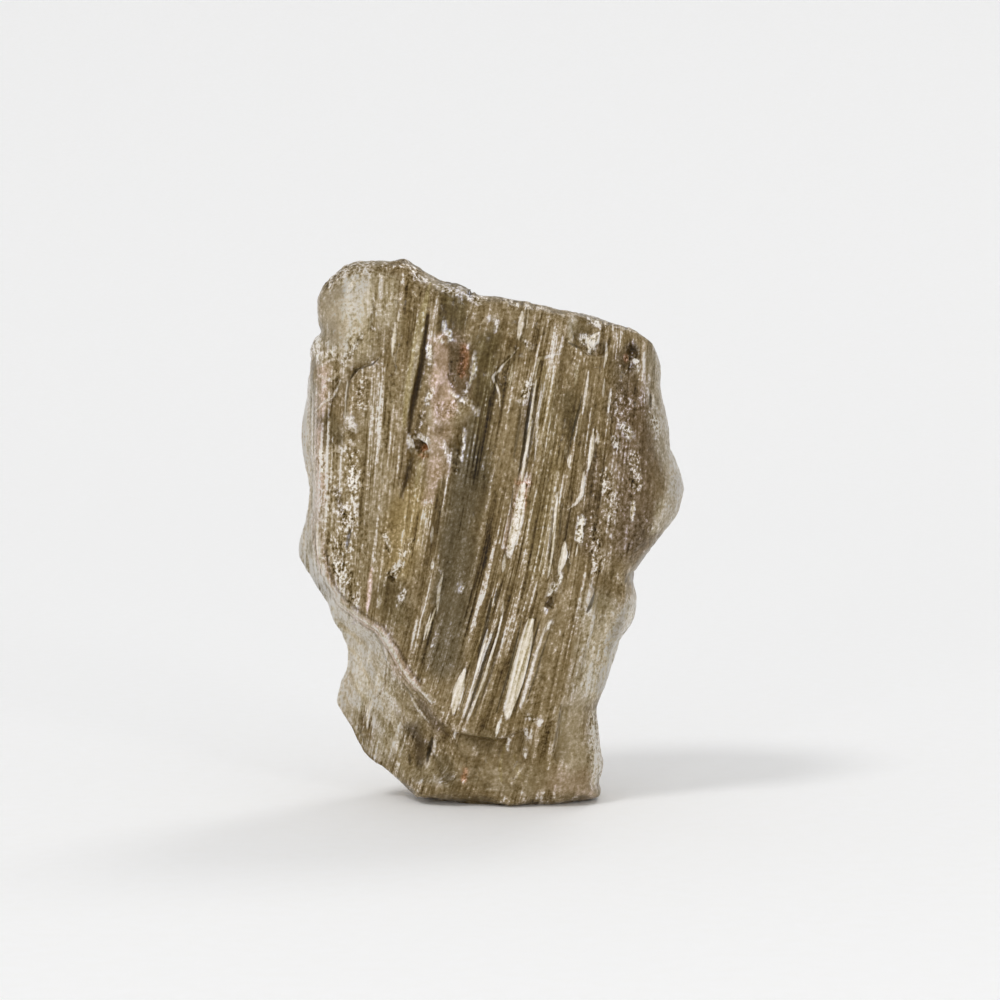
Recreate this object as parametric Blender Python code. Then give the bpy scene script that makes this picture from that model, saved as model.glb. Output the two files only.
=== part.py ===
"""A flow-banded stone of natural glass, upright on a small flat spot.

Metres, +Z up. The broad striated face looks along -Y, with +X on its right. The outline
and the marks on both faces are placed by hand in millimetres: x to the right, z up from
the flat spot, and depth out of the middle plane towards whichever face is meant.
"""

import math
from typing import NamedTuple

import bmesh
import bpy
import numpy as np
from mathutils import Vector, noise
from mathutils.geometry import delaunay_2d_cdt

MM = 0.001

# The outline's highest point, and a width that the mesh's columns are sure to span.
HEIGHT = 35.0
SPAN = 30.0

# How thick the stone is on each side of its middle plane.
FRONT_DEPTH = 5.6
BACK_DEPTH = 6.3
TWIST = 0.0026

# Spacing of the mesh: along the outline, and across and along the flow on each face.
RIM_STEP = 0.62
FRONT_ACROSS = 0.40
FRONT_ALONG = 0.98
BACK_ACROSS = 0.56
BACK_ALONG = 1.25
FIRST_ROW = 0.55
ALONG_JITTER = 0.2
RING_INSETS = (0.3, 0.85)
RING_KEPT_SHARE = 0.85
RING_LOWEST = 0.44
POINT_GAP = 0.24
WALL_BANDS = 6
BACK_SMOOTHING = 30
CURVE_PARTS = 8
FLOW_ROUNDS = 10
MESH_TOLERANCE = 1e-5

# A step in a face is a pair of lines this far apart, with points this often.
STEP_RUN = 0.2
STEP_POINTS = 0.55

# The flow leans to the right going up, most in the middle and in the lower third.
LEAN_CENTRE = 0.5
LEAN_REACH = 9.0
LEAN_UPPER = 0.19
LEAN_EXTRA_BELOW = 0.12
LEAN_UPRIGHT_Z = 17.0
LEAN_BEND_Z = 14.5
LEAN_BEND_SOFT = 1.5

# The broad face falls away from its middle by this much for each square millimetre.
FRONT_MIDDLE = (0.3, 19.0)
FRONT_FALL_SIDEWAYS = 0.011
FRONT_FALL_UPWARD = 0.0042
FACET_BLEND = 0.35

# The flat spot keeps the full section, then the hollow sets in, and it dies out higher up.
HOLLOW_STARTS = (0.6, 4.6)
HOLLOW_ENDS = (24.0, 27.5)
HOLLOW_CURVE = 1.55
HOLLOW_CALM = 0.75
HOLLOW_CALM_REACH = 0.6

# Marks keep off the flat spot and off the broken edge by these distances.
MARKS_ABOVE_FOOT = (0.0, 0.8)
MARKS_FROM_EDGE = (0.1, 1.3)
STREAK_TAPER = 0.15
STREAK_SIDES = (0.4, 1.5)
BACK_ROUNDING = 1.3

# The back face is drawn in by its mean share and waves: strength, length and phase of each.
BACK_INSET_MEAN = 0.75
BACK_INSET_WAVES = ((0.35, 2.3, 0.0), (0.25, 1.1, 2.0))
BACK_INSET_STARTS = (0.4, 2.5)

# The broken end rises all round its flat spot, unevenly, and only its lowest part does.
SPOT_MIDDLE = (1.4, -0.3)
SPOT_HALF = (4.9, 3.0)
SPOT_FADE = (1.0, 1.75)
END_RISE = 1.1
END_UNEVEN = 0.9
END_LUMP_SIZE = 2.2
END_HEIGHT = 2.8

STONE_COLOUR = (0.262, 0.206, 0.126, 1.0)
STONE_ROUGHNESS = 0.28
STONE_IOR = 1.5


class Stretch(NamedTuple):
    """One run of the outline, and how the edge is broken along it."""

    front_rim: float
    back_rim: float
    rounding: float
    back_inset: float
    points: tuple


class Bump(NamedTuple):
    """A soft rise in a face, or a dip where the rise is negative."""

    x: float
    z: float
    half_width: float
    half_height: float
    rise: float


class Facet(NamedTuple):
    """A flat break: its depth at a point of the face, and how it slopes from there."""

    x: float
    z: float
    depth: float
    slope_right: float
    slope_up: float


class Streak(NamedTuple):
    """A rib or groove along the flow, through x at its middle height."""

    x: float
    top: float
    bottom: float
    half_width: float
    rise: float


class Ledge(NamedTuple):
    """A sharp step: the face on the right of the line rises, and fades out over the reach."""

    rise: float
    reach: float
    points: tuple


class Pit(NamedTuple):
    """A small uneven bowl."""

    x: float
    z: float
    radius: float
    depth: float


# The outline goes up the left side, over the top and down the right side.
OUTLINE = (
    Stretch(0.9, 1.2, 1.6, 1.1, (
        (-5.1, 0.0), (-5.9, 0.7), (-7.0, 1.9), (-7.8, 2.5), (-8.5, 3.4), (-9.1, 4.6),
        (-9.7, 5.7), (-10.0, 6.1), (-10.0, 6.6), (-9.6, 7.7), (-9.2, 8.6), (-9.2, 9.5),
        (-9.5, 10.8), (-10.2, 11.7), (-10.4, 12.6), (-11.0, 13.5), (-11.7, 14.6),
    )),
    Stretch(0.7, 1.1, 1.5, 0.9, (
        (-12.3, 15.6), (-12.4, 16.4), (-12.0, 17.9), (-11.7, 19.4), (-11.6, 19.9),
        (-11.8, 21.0), (-12.1, 22.3), (-12.2, 23.7), (-12.0, 25.2), (-11.8, 25.8),
        (-11.7, 27.2), (-11.5, 28.3),
    )),
    Stretch(1.4, 1.5, 1.3, 1.1, ((-11.45, 29.2), (-11.35, 29.8), (-10.85, 30.1))),
    Stretch(2.3, 1.8, 1.6, 1.6, (
        (-11.0, 31.1), (-11.0, 32.4), (-10.6, 33.3), (-9.9, 34.0), (-9.1, 34.6), (-8.3, 34.8),
        (-7.2, 34.85), (-5.9, 34.85), (-5.5, 35.0), (-5.2, 34.8), (-4.6, 34.4), (-3.2, 33.6),
    )),
    Stretch(3.4, 1.9, 1.1, 2.0, (
        (-2.1, 33.4), (-1.2, 32.9), (-0.7, 32.6), (0.9, 32.45), (2.5, 32.1), (4.5, 31.7),
        (7.0, 31.1), (7.8, 30.75), (8.4, 30.65), (9.2, 30.4), (10.2, 29.7),
    )),
    Stretch(2.1, 1.7, 2.3, 1.5, (
        (10.6, 28.9), (10.9, 27.9), (10.85, 26.7), (11.15, 25.3), (11.4, 23.9), (11.5, 22.5),
        (12.0, 21.6), (12.35, 20.6), (12.25, 19.8), (11.85, 18.5), (10.95, 17.4), (10.0, 16.1),
        (9.3, 15.1),
    )),
    Stretch(1.1, 1.2, 2.4, 0.9, (
        (9.1, 14.5), (9.4, 13.4), (9.3, 12.1), (9.0, 11.4), (8.4, 10.6), (7.8, 9.4), (7.7, 8.5),
        (7.2, 7.0), (6.8, 6.1), (6.8, 5.5), (7.0, 4.4), (7.1, 3.4), (7.3, 2.5), (7.2, 1.8),
        (6.95, 1.4), (7.1, 0.0),
    )),
)

# The ridge that parts the broad face from the hollow on its lower left.
RIDGE = (
    (-10.5, 27.6), (-10.75, 25.8), (-10.85, 23.2), (-10.9, 20.6), (-10.95, 18.1), (-10.8, 16.3),
    (-10.4, 14.6), (-9.6, 13.2), (-8.4, 12.3), (-7.0, 11.4), (-6.2, 10.2), (-5.6, 8.9),
    (-4.7, 7.9), (-3.7, 6.9), (-2.9, 5.8), (-2.1, 5.0), (-1.3, 3.7),
)

FRONT_BUMPS = (
    Bump(9.4, 21.0, 2.4, 5.2, 0.95),
    Bump(6.6, 23.0, 1.0, 6.5, -0.45),
    Bump(-1.0, 17.0, 2.2, 8.0, -0.45),
    Bump(3.4, 17.0, 2.0, 8.5, 0.30),
    Bump(-7.2, 18.0, 2.2, 5.0, 0.30),
    Bump(-8.2, 32.0, 2.2, 2.0, 0.25),
    Bump(7.0, 8.0, 2.0, 5.0, -0.70),
    Bump(1.5, 3.0, 3.0, 2.2, -0.55),
    Bump(-6.6, 5.2, 1.4, 4.0, 0.35),
)
FRONT_STREAKS = (
    Streak(-4.6, 33.4, 23.6, 0.60, 0.39),
    Streak(-4.75, 29.6, 19.6, 0.42, -0.42),
    Streak(-7.4, 33.6, 29.2, 0.50, -0.15),
    Streak(-8.8, 25.0, 14.0, 0.60, 0.20),
    Streak(-7.4, 27.0, 15.0, 0.50, -0.17),
    Streak(-3.6, 21.5, 9.5, 0.50, 0.17),
    Streak(2.0, 32.2, 29.2, 0.45, 0.21),
    Streak(2.6, 27.6, 20.9, 0.40, -0.28),
    Streak(3.3, 28.4, 19.6, 0.42, 0.20),
    Streak(-0.1, 28.5, 18.0, 0.50, -0.21),
    Streak(1.6, 21.2, 16.2, 0.45, 0.24),
    Streak(-3.5, 15.4, 10.4, 0.42, -0.22),
    Streak(-0.85, 12.4, 5.2, 0.40, 0.25),
    Streak(-0.1, 13.4, 6.0, 0.40, -0.24),
    Streak(1.9, 13.2, 5.4, 0.55, -0.28),
    Streak(2.75, 13.2, 5.8, 0.42, 0.24),
    Streak(-2.05, 9.8, 5.6, 0.50, -0.21),
    Streak(3.9, 20.4, 13.9, 0.42, 0.24),
    Streak(4.6, 19.2, 13.0, 0.42, -0.27),
    Streak(6.0, 29.0, 20.5, 0.45, 0.18),
    Streak(5.0, 28.6, 21.0, 0.42, -0.18),
    Streak(7.5, 27.0, 18.5, 0.45, -0.20),
)
FRONT_LEDGES = (
    Ledge(0.60, 2.6, (
        (-9.2, 23.9), (-9.1, 25.1), (-9.0, 26.3), (-8.8, 27.1), (-8.4, 27.8), (-7.8, 28.2),
        (-6.9, 28.8),
    )),
    Ledge(-0.45, 1.7, ((-10.3, 24.6), (-10.1, 26.0), (-9.9, 27.0), (-9.5, 27.7))),
    Ledge(-0.55, 2.6, (
        (-2.6, 4.9), (-1.9, 4.9), (-0.9, 4.7), (0.4, 4.4), (1.4, 4.8), (2.3, 5.3),
    )),
    Ledge(-0.40, 2.0, ((3.9, 2.9), (4.2, 4.2), (4.35, 5.6), (4.5, 6.9))),
    Ledge(-0.45, 2.2, ((5.6, 9.0), (6.1, 10.4), (6.6, 12.0), (6.5, 13.8), (5.9, 15.4))),
    Ledge(0.35, 1.6, ((1.8, 29.2), (1.0, 28.6), (0.2, 27.6), (0.4, 26.8))),
    Ledge(-0.45, 1.8, ((7.6, 29.7), (7.1, 28.8), (6.0, 28.9), (5.3, 29.6), (4.9, 31.0))),
)
# A shallow sunken place with a ragged rim.
RECESS_DEPTH = 0.55
RECESS = (
    (-3.3, 30.5), (-2.5, 30.0), (-2.0, 29.4), (-1.3, 29.7), (-0.8, 29.2), (-1.0, 28.3),
    (-1.2, 27.0), (-0.7, 25.6), (-1.4, 24.4), (-1.7, 22.8), (-1.9, 21.2), (-2.6, 21.4),
    (-2.8, 23.1), (-3.5, 23.9), (-3.4, 25.0), (-3.6, 26.2), (-3.3, 27.3), (-3.5, 28.4),
)
FRONT_PITS = (
    Pit(-4.5, 23.1, 0.75, 0.70),
    Pit(3.85, 13.4, 0.45, 0.40),
    Pit(-6.2, 14.8, 0.40, 0.28),
    Pit(8.9, 29.0, 0.60, 0.35),
    Pit(-3.9, 3.4, 0.45, 0.35),
)

# The back is broken along four main faces, like a low roof.
BACK_FACETS = (
    Facet(2.2, 16.0, BACK_DEPTH, -0.46, 0.02),
    Facet(2.2, 16.0, BACK_DEPTH, 0.27, -0.03),
    Facet(0.0, 24.5, BACK_DEPTH - 0.2, 0.05, -0.34),
    Facet(0.0, 5.0, BACK_DEPTH - 1.3, -0.08, 0.16),
)
BACK_BUMPS = (
    Bump(3.2, 23.0, 4.2, 4.0, -0.90),
    Bump(-5.0, 26.0, 2.4, 4.5, 0.55),
    Bump(-3.0, 11.5, 3.2, 4.0, -0.80),
    Bump(5.6, 11.0, 2.0, 4.5, 0.45),
    Bump(-8.0, 18.5, 1.8, 4.5, -0.40),
)
BACK_STREAKS = (
    Streak(-4.0, 32.0, 21.0, 0.75, -0.45),
    Streak(-1.5, 31.0, 25.5, 0.75, 0.40),
    Streak(-0.7, 19.0, 6.5, 0.75, 0.45),
    Streak(3.3, 16.5, 4.0, 0.75, -0.45),
    Streak(6.0, 25.0, 13.0, 0.80, 0.35),
    Streak(8.6, 25.0, 17.5, 0.75, -0.30),
    Streak(-6.8, 24.0, 13.0, 0.75, 0.40),
    Streak(-9.2, 25.0, 17.0, 0.70, -0.25),
)
BACK_LEDGES = (
    Ledge(0.75, 3.0, (
        (-2.6, 18.6), (-0.6, 17.6), (1.6, 17.4), (3.8, 18.2), (5.6, 19.8), (6.4, 21.6),
    )),
    Ledge(-0.60, 2.6, ((-7.6, 9.0), (-6.4, 11.6), (-5.6, 14.2), (-5.4, 17.0))),
    Ledge(0.50, 2.2, ((5.8, 6.0), (4.8, 6.9), (3.5, 7.0), (2.2, 6.0))),
)
BACK_PITS = (Pit(-1.0, 28.0, 0.8, 0.45), Pit(6.9, 16.2, 0.65, 0.35))

PIT_LENGTHENED = 0.5
PIT_UNEVEN = 0.18
PIT_RINGS = ((1.0, 10), (0.6, 6))

# Ribs along the flow: wavelength and height of each set, front and back.
FRONT_RIBS = ((1.66, 0.075), (2.35, 0.090), (4.1, 0.11))
BACK_RIBS = ((2.30, 0.090), (3.40, 0.12), (5.2, 0.14))
RIB_STRENGTH = (0.6, 0.4)
RIB_SWELL_ALONG = 3.7
RIB_SWELL_ACROSS = 2.1
LUMP_SIZE = 2.6
FRONT_LUMPS = (1.0, 0.16)
BACK_LUMPS = (7.0, 0.26)
WALL_LUMP_SIZE = 1.7
WALL_LUMP = 0.34
WALL_SWELL = 0.05
WALL_FREE_ABOVE = (0.3, 1.5)
WALL_FREE_THICKNESS = (0.5, 3.0)
GOLDEN = 2.399963


def smooth(value, low, high):
    """Ease from 0 at low to 1 at high."""
    t = np.clip((value - low) / (high - low), 0.0, 1.0)
    return t * t * (3.0 - 2.0 * t)


def rounded(t):
    """Quarter of a circle: 0 at the edge, 1 from t = 1 inwards."""
    t = np.clip(t, 0.0, 1.0)
    return np.sqrt(1.0 - (1.0 - t) ** 2)


def lean(flow):
    """How far the flow at this distance across takes part in the lean."""
    return np.exp(-(((flow - LEAN_CENTRE) / LEAN_REACH) ** 2))


def shift(z):
    """Sideways shift of a fully leaning flow line at height z."""
    below = LEAN_BEND_SOFT * np.log1p(np.exp((LEAN_BEND_Z - z) / LEAN_BEND_SOFT))
    return LEAN_UPPER * (z - LEAN_UPRIGHT_Z) - LEAN_EXTRA_BELOW * below


def flow_of(xz):
    """Number the flow line through each point, by where it crosses the upright height."""
    flow = xz[:, 0].copy()
    for _ in range(FLOW_ROUNDS):
        flow = xz[:, 0] - lean(flow) * shift(xz[:, 1])
    return flow


def nearest_on_chain(xz, chain):
    """Distance to an open chain, the side (1 right, -1 left) and how far along it, 0 to 1."""
    chain = np.asarray(chain, float)
    start = chain[:-1]
    run = chain[1:] - start
    length = np.linalg.norm(run, axis=1)
    offset = xz[:, None, :] - start[None]
    along = np.clip((offset * run).sum(2) / length**2, 0.0, 1.0)
    gap = offset - along[..., None] * run
    distance = np.linalg.norm(gap, axis=2)
    pick = distance.argmin(1)
    rows = np.arange(len(xz))
    cross = run[pick, 0] * offset[rows, pick, 1] - run[pick, 1] * offset[rows, pick, 0]
    before = np.concatenate([[0.0], np.cumsum(length)])
    way = (before[pick] + along[rows, pick] * length[pick]) / before[-1]
    return distance[rows, pick], np.where(cross < 0.0, 1.0, -1.0), way


def is_inside(xz, loop):
    """Even-odd test against a closed loop of points."""
    loop = np.asarray(loop, float)
    following = np.roll(loop, -1, axis=0)
    x, z = xz[:, :1], xz[:, 1:]
    crosses = (loop[:, 1] > z) != (following[:, 1] > z)
    rise = np.where(following[:, 1] == loop[:, 1], 1.0, following[:, 1] - loop[:, 1])
    where = loop[:, 0] + (z - loop[:, 1]) * (following[:, 0] - loop[:, 0]) / rise
    return (crosses & (x < where)).sum(1) % 2 == 1


def curve_through(points, step):
    """Points every step along a smooth curve through the given ones, ends kept."""
    points = np.asarray(points, float)
    padded = np.vstack([2 * points[0] - points[1], points, 2 * points[-1] - points[-2]])
    t = np.linspace(0.0, 1.0, CURVE_PARTS, endpoint=False)[:, None]
    pieces = []
    for a, b, c, d in zip(padded, padded[1:], padded[2:], padded[3:]):
        bend = 2 * a - 5 * b + 4 * c - d
        twist = 3 * b - a - 3 * c + d
        pieces.append(0.5 * (2 * b + (c - a) * t + bend * t**2 + twist * t**3))
    dense = np.vstack(pieces + [points[-1:]])
    run = np.concatenate([[0.0], np.cumsum(np.linalg.norm(np.diff(dense, axis=0), axis=1))])
    count = max(2, round(run[-1] / step) + 1)
    stops = np.linspace(0.0, run[-1], count)
    return np.column_stack([np.interp(stops, run, column) for column in dense.T])


class Ring:
    """The closed edge of one face, counter-clockwise seen from the front."""

    def __init__(self, open_part, sizes, foot):
        self.open_part = open_part
        self.sizes = sizes
        self.points = np.vstack([open_part, foot])

    def size_at(self, xz, index):
        """An edge size at any point, from the edge points near it."""
        gap = ((xz[:, None] - self.open_part[None]) ** 2).sum(2)
        weight = 1.0 / (gap + POINT_GAP**2) ** 2
        return (weight * self.sizes[:, index]).sum(1) / weight.sum(1)

    def edge_distance(self, xz):
        """Distance to the broken edge; the flat spot doesn't count."""
        return nearest_on_chain(xz, self.open_part)[0]


def front_ring():
    """The outline with its edge sizes, from the right end of the foot round to the left."""
    rows = []
    for stretch in OUTLINE:
        sizes = (stretch.front_rim, stretch.back_rim, stretch.rounding, stretch.back_inset)
        rows += [(x, z, *sizes) for x, z in stretch.points]
    curve = curve_through(rows, RIM_STEP)[::-1]
    curve[0, 1] = curve[-1, 1] = 0.0
    count = round((curve[0, 0] - curve[-1, 0]) / RIM_STEP)
    across = np.linspace(curve[-1, 0], curve[0, 0], count + 1)[1:-1]
    foot = np.column_stack([across, np.zeros(len(across))])
    return Ring(curve[:, :2], curve[:, 2:], foot)


def side_of(points, reach=1):
    """Unit vectors to the left of the walk round a closed ring of points."""
    chord = np.roll(points, -reach, axis=0) - np.roll(points, reach, axis=0)
    left = np.column_stack([-chord[:, 1], chord[:, 0]])
    return left / np.linalg.norm(left, axis=1)[:, None]


def back_ring(front):
    """The edge of the back face: the outline with its nicks worn off, drawn in unevenly."""
    count = len(front.open_part)
    points = front.points.copy()
    edge = points[:count]
    for _ in range(BACK_SMOOTHING):
        edge[1:-1] += (edge[:-2] + edge[2:] - 2.0 * edge[1:-1]) / 4.0
    inward = side_of(points, 2)[:count]
    way = np.arange(count) * RIM_STEP
    uneven = BACK_INSET_MEAN + sum(
        strength * np.sin(way / length + phase) for strength, length, phase in BACK_INSET_WAVES)
    inset = front.sizes[:, 3] * uneven * smooth(edge[:, 1], *BACK_INSET_STARTS)
    return Ring(edge + inward * inset[:, None], front.sizes, points[count:])


def facets_at(xz, facets):
    """The lowest of several flat breaks, their meeting lines slightly worn."""
    total = np.zeros(len(xz))
    for facet in facets:
        right = facet.slope_right * (xz[:, 0] - facet.x)
        depth = facet.depth + right + facet.slope_up * (xz[:, 1] - facet.z)
        total += np.exp(-depth / FACET_BLEND)
    return -FACET_BLEND * np.log(total)


def bumps_at(xz, bumps):
    """Sum of soft rises."""
    total = np.zeros(len(xz))
    for bump in bumps:
        across = (xz[:, 0] - bump.x) / bump.half_width
        up = (xz[:, 1] - bump.z) / bump.half_height
        total += bump.rise * np.exp(-(across**2) - up**2)
    return total


def tapered(way):
    """1 along the middle of a mark, easing to 0 at both ends."""
    return smooth(way, 0.0, STREAK_TAPER) * (1.0 - smooth(way, 1.0 - STREAK_TAPER, 1.0))


def streaks_at(xz, streaks):
    """Sum of ribs and grooves, each tapering at its ends."""
    flow = flow_of(xz)
    total = np.zeros(len(xz))
    for streak in streaks:
        middle = np.array([[streak.x, (streak.top + streak.bottom) / 2.0]])
        distance = np.abs(flow - flow_of(middle)[0])
        way = (xz[:, 1] - streak.bottom) / (streak.top - streak.bottom)
        sides = [share * streak.half_width for share in STREAK_SIDES]
        total += streak.rise * tapered(way) * (1.0 - smooth(distance, *sides))
    return total


def ledges_at(xz, ledges):
    """Sum of sharp steps, each fading away from its line and at the line's ends."""
    total = np.zeros(len(xz))
    for ledge in ledges:
        distance, side, way = nearest_on_chain(xz, curve_through(ledge.points, STEP_POINTS))
        step = np.where(side > 0.0, smooth(distance, 0.0, STEP_RUN), 0.0)
        fade = 1.0 - smooth(distance, STEP_RUN, ledge.reach)
        total += ledge.rise * step * tapered(way) * fade
    return total


def pit_radius(pit, turn):
    """How far the uneven rim of a bowl is from its middle, in each direction."""
    long = PIT_LENGTHENED * np.abs(np.sin(turn)) ** 2
    return pit.radius * (1.0 + long + PIT_UNEVEN * np.sin(3.0 * turn + pit.x))


def pits_at(xz, pits):
    """Sum of bowls, as negative depths."""
    total = np.zeros(len(xz))
    for pit in pits:
        right, up = xz[:, 0] - pit.x, xz[:, 1] - pit.z
        away = np.hypot(right, up) / pit_radius(pit, np.arctan2(up, right))
        total -= pit.depth * np.clip(1.0 - away**2, 0.0, 1.0)
    return total


def ribs_at(xz, ribs):
    """Ribs that follow the flow and swell and fade along it."""
    flow = flow_of(xz)
    total = np.zeros(len(xz))
    for number, (wavelength, height) in enumerate(ribs):
        phase = math.tau * flow / wavelength + GOLDEN * number
        swell = xz[:, 1] / RIB_SWELL_ALONG + flow / RIB_SWELL_ACROSS + number
        strength = RIB_STRENGTH[0] + RIB_STRENGTH[1] * np.sin(swell)
        total += height * strength * np.sin(phase)
    return total


def lumps_at(xz, layer, height):
    """Soft uneven lumps, another set for each layer."""
    return height * np.array([
        noise.noise(Vector((x / LUMP_SIZE, layer, z / LUMP_SIZE))) for x, z in xz
    ])


def front_level(xz):
    """Depth of the broad face before it is rounded and marked."""
    sideways = FRONT_FALL_SIDEWAYS * (xz[:, 0] - FRONT_MIDDLE[0]) ** 2
    upward = FRONT_FALL_UPWARD * (xz[:, 1] - FRONT_MIDDLE[1]) ** 2
    return FRONT_DEPTH - sideways - upward + bumps_at(xz, FRONT_BUMPS)


def recess_at(xz):
    """The sunken place, with a steep rim."""
    loop = np.vstack([RECESS, RECESS[:1]])
    distance = nearest_on_chain(xz, loop)[0]
    return np.where(is_inside(xz, RECESS), -RECESS_DEPTH * smooth(distance, 0.0, STEP_RUN), 0.0)


def hollow_at(xz):
    """Distance past the ridge into the hollow, and how fully the hollow is there."""
    distance, side, _ = nearest_on_chain(xz, RIDGE)
    share = smooth(xz[:, 1], *HOLLOW_STARTS) * (1.0 - smooth(xz[:, 1], *HOLLOW_ENDS))
    share *= side > 0.0
    return distance * share, share


def front_depth(xz, ring):
    """Depth of the broad face before the middle plane."""
    edge = ring.edge_distance(xz)
    rim = ring.size_at(xz, 0)
    beyond, hollow = hollow_at(xz)
    body = rounded((edge + beyond) / ring.size_at(xz, 2))
    body *= (1.0 - beyond / (beyond + edge + MM)) ** HOLLOW_CURVE
    marks = streaks_at(xz, FRONT_STREAKS) + ribs_at(xz, FRONT_RIBS) + recess_at(xz)
    marks += ledges_at(xz, FRONT_LEDGES) + pits_at(xz, FRONT_PITS)
    marks *= 1.0 - HOLLOW_CALM * hollow * smooth(beyond, 0.0, HOLLOW_CALM_REACH)
    marks *= smooth(xz[:, 1], *MARKS_ABOVE_FOOT)
    marks = (marks + lumps_at(xz, *FRONT_LUMPS)) * smooth(edge, *MARKS_FROM_EDGE)
    return rim + (front_level(xz) - rim) * body + marks


def back_depth(xz, ring):
    """Depth of the back face behind the middle plane."""
    edge = ring.edge_distance(xz)
    rim = ring.size_at(xz, 1)
    body = rounded(edge / (BACK_ROUNDING * ring.size_at(xz, 2)))
    level = facets_at(xz, BACK_FACETS) + bumps_at(xz, BACK_BUMPS)
    marks = streaks_at(xz, BACK_STREAKS) + ribs_at(xz, BACK_RIBS)
    marks += ledges_at(xz, BACK_LEDGES) + pits_at(xz, BACK_PITS)
    marks *= smooth(xz[:, 1], *MARKS_ABOVE_FOOT)
    marks = (marks + lumps_at(xz, *BACK_LUMPS)) * smooth(edge, *MARKS_FROM_EDGE)
    return rim + (level - rim) * body + marks


def lattice(ring, across, along, seed):
    """Points that line up with the flow, inside the ring."""
    random = np.random.default_rng(seed)
    columns = np.arange(-SPAN / 2.0, SPAN / 2.0, across)
    flow, z = np.meshgrid(columns, np.arange(FIRST_ROW, HEIGHT, along))
    z = z + random.uniform(-ALONG_JITTER, ALONG_JITTER, z.shape)
    xz = np.column_stack([(flow + lean(flow) * shift(z)).ravel(), z.ravel()])
    xz = xz[is_inside(xz, ring.points)]
    return xz[ring.edge_distance(xz) > RING_INSETS[-1] + POINT_GAP]


def inset_rings(ring):
    """Rows of points just inside the edge, where the face rounds down."""
    start = ring.open_part
    inward = side_of(ring.points)[:len(start)]
    rows = []
    for inset in RING_INSETS:
        row = start + inward * inset
        kept = is_inside(row, ring.points) & (ring.edge_distance(row) > RING_KEPT_SHARE * inset)
        rows.append(row[kept & (row[:, 1] > RING_LOWEST)])
    return np.vstack(rows)


def pit_points(pits):
    """Two rings and a centre for each bowl."""
    points = []
    for pit in pits:
        points.append((pit.x, pit.z))
        for share, count in PIT_RINGS:
            turn = np.arange(count) * math.tau / count + share
            away = share * pit_radius(pit, turn)
            points += zip(pit.x + away * np.cos(turn), pit.z + away * np.sin(turn))
    return np.array(points)


def step_lines(ledges, plain):
    """Chains that the mesh must follow: two lines for each step, and one for a plain edge."""
    chains = [curve_through(chain, STEP_POINTS) for chain in plain]
    for ledge in ledges:
        line = curve_through(ledge.points, STEP_POINTS)
        run = np.gradient(line, axis=0)
        right = np.column_stack([run[:, 1], -run[:, 0]])
        right /= np.linalg.norm(right, axis=1)[:, None]
        chains += [line, line + right * STEP_RUN]
    return chains


def clear_of(xz, others, gap=POINT_GAP):
    """The points that keep a gap to all the others."""
    distance = np.linalg.norm(xz[:, None] - others[None], axis=2).min(1)
    return xz[distance > gap]


def face_mesh(ring, grid, pits, chains):
    """Triangulate one face in the plane. The ring's points come first."""
    lines = np.vstack(chains)
    bowls = clear_of(pit_points(pits), lines)
    rows = clear_of(inset_rings(ring), np.vstack([lines, bowls]))
    for pit in pits:
        away = np.hypot(grid[:, 0] - pit.x, grid[:, 1] - pit.z)
        grid = grid[away > (1.0 + PIT_LENGTHENED) * pit.radius]
    grid = clear_of(grid, np.vstack([lines, rows]))
    points = np.vstack([ring.points, lines, bowls, rows, grid])
    edges = []
    first = len(ring.points)
    for chain in chains:
        edges += [(first + i, first + i + 1) for i in range(len(chain) - 1)]
        first += len(chain)
    border = [list(range(len(ring.points)))]
    found = delaunay_2d_cdt([Vector(p) for p in points], edges, border, 1, MESH_TOLERANCE)
    return np.array([tuple(v) for v in found[0]]), found[2]


def wall_lumps(xz, y):
    """Uneven swelling of the broken edge."""
    places = np.column_stack([xz[:, 0], y, xz[:, 1]]) / WALL_LUMP_SIZE
    return WALL_LUMP * np.array([noise.noise(Vector(place)) for place in places])


def wall_rows(front, back, front_y, back_y):
    """Rows of points across the broken edge, from the front face's rim to the back's."""
    outward = -side_of(front.points)
    thickness = back_y - front_y
    free = smooth(front.points[:, 1], *WALL_FREE_ABOVE) * smooth(thickness, *WALL_FREE_THICKNESS)
    free[len(front.open_part):] = 0.0
    rows = []
    for band in range(1, WALL_BANDS):
        t = band / WALL_BANDS
        xz = front.points * (1.0 - t) + back.points * t
        y = front_y * (1.0 - t) + back_y * t
        swell = (WALL_SWELL * thickness + wall_lumps(xz, y)) * free * math.sin(math.pi * t)
        xz = xz + outward * swell[:, None]
        rows.append(np.column_stack([xz[:, 0], y, xz[:, 1]]))
    return rows


def solid_points(xz, y):
    """Points in space from their place on a face and their depth."""
    return np.column_stack([xz[:, 0], y, xz[:, 1]])


def settled(points):
    """Twist the stone slightly, and centre it over the origin."""
    points[:, 1] += TWIST * points[:, 0] * (points[:, 2] - FRONT_MIDDLE[1])
    for axis in (0, 1):
        points[:, axis] -= (points[:, axis].min() + points[:, axis].max()) / 2.0
    return points


def broken_end(points):
    """Raise the lowest part of the stone all round its flat spot."""
    away = np.hypot(*((points[:, :2] - SPOT_MIDDLE) / SPOT_HALF).T)
    lumps = np.array([noise.noise(Vector(point / END_LUMP_SIZE)) for point in points])
    rise = END_RISE * smooth(away, *SPOT_FADE) * (1.0 + END_UNEVEN * lumps)
    points[:, 2] += rise * (1.0 - smooth(points[:, 2], 0.0, END_HEIGHT))
    return points


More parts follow.
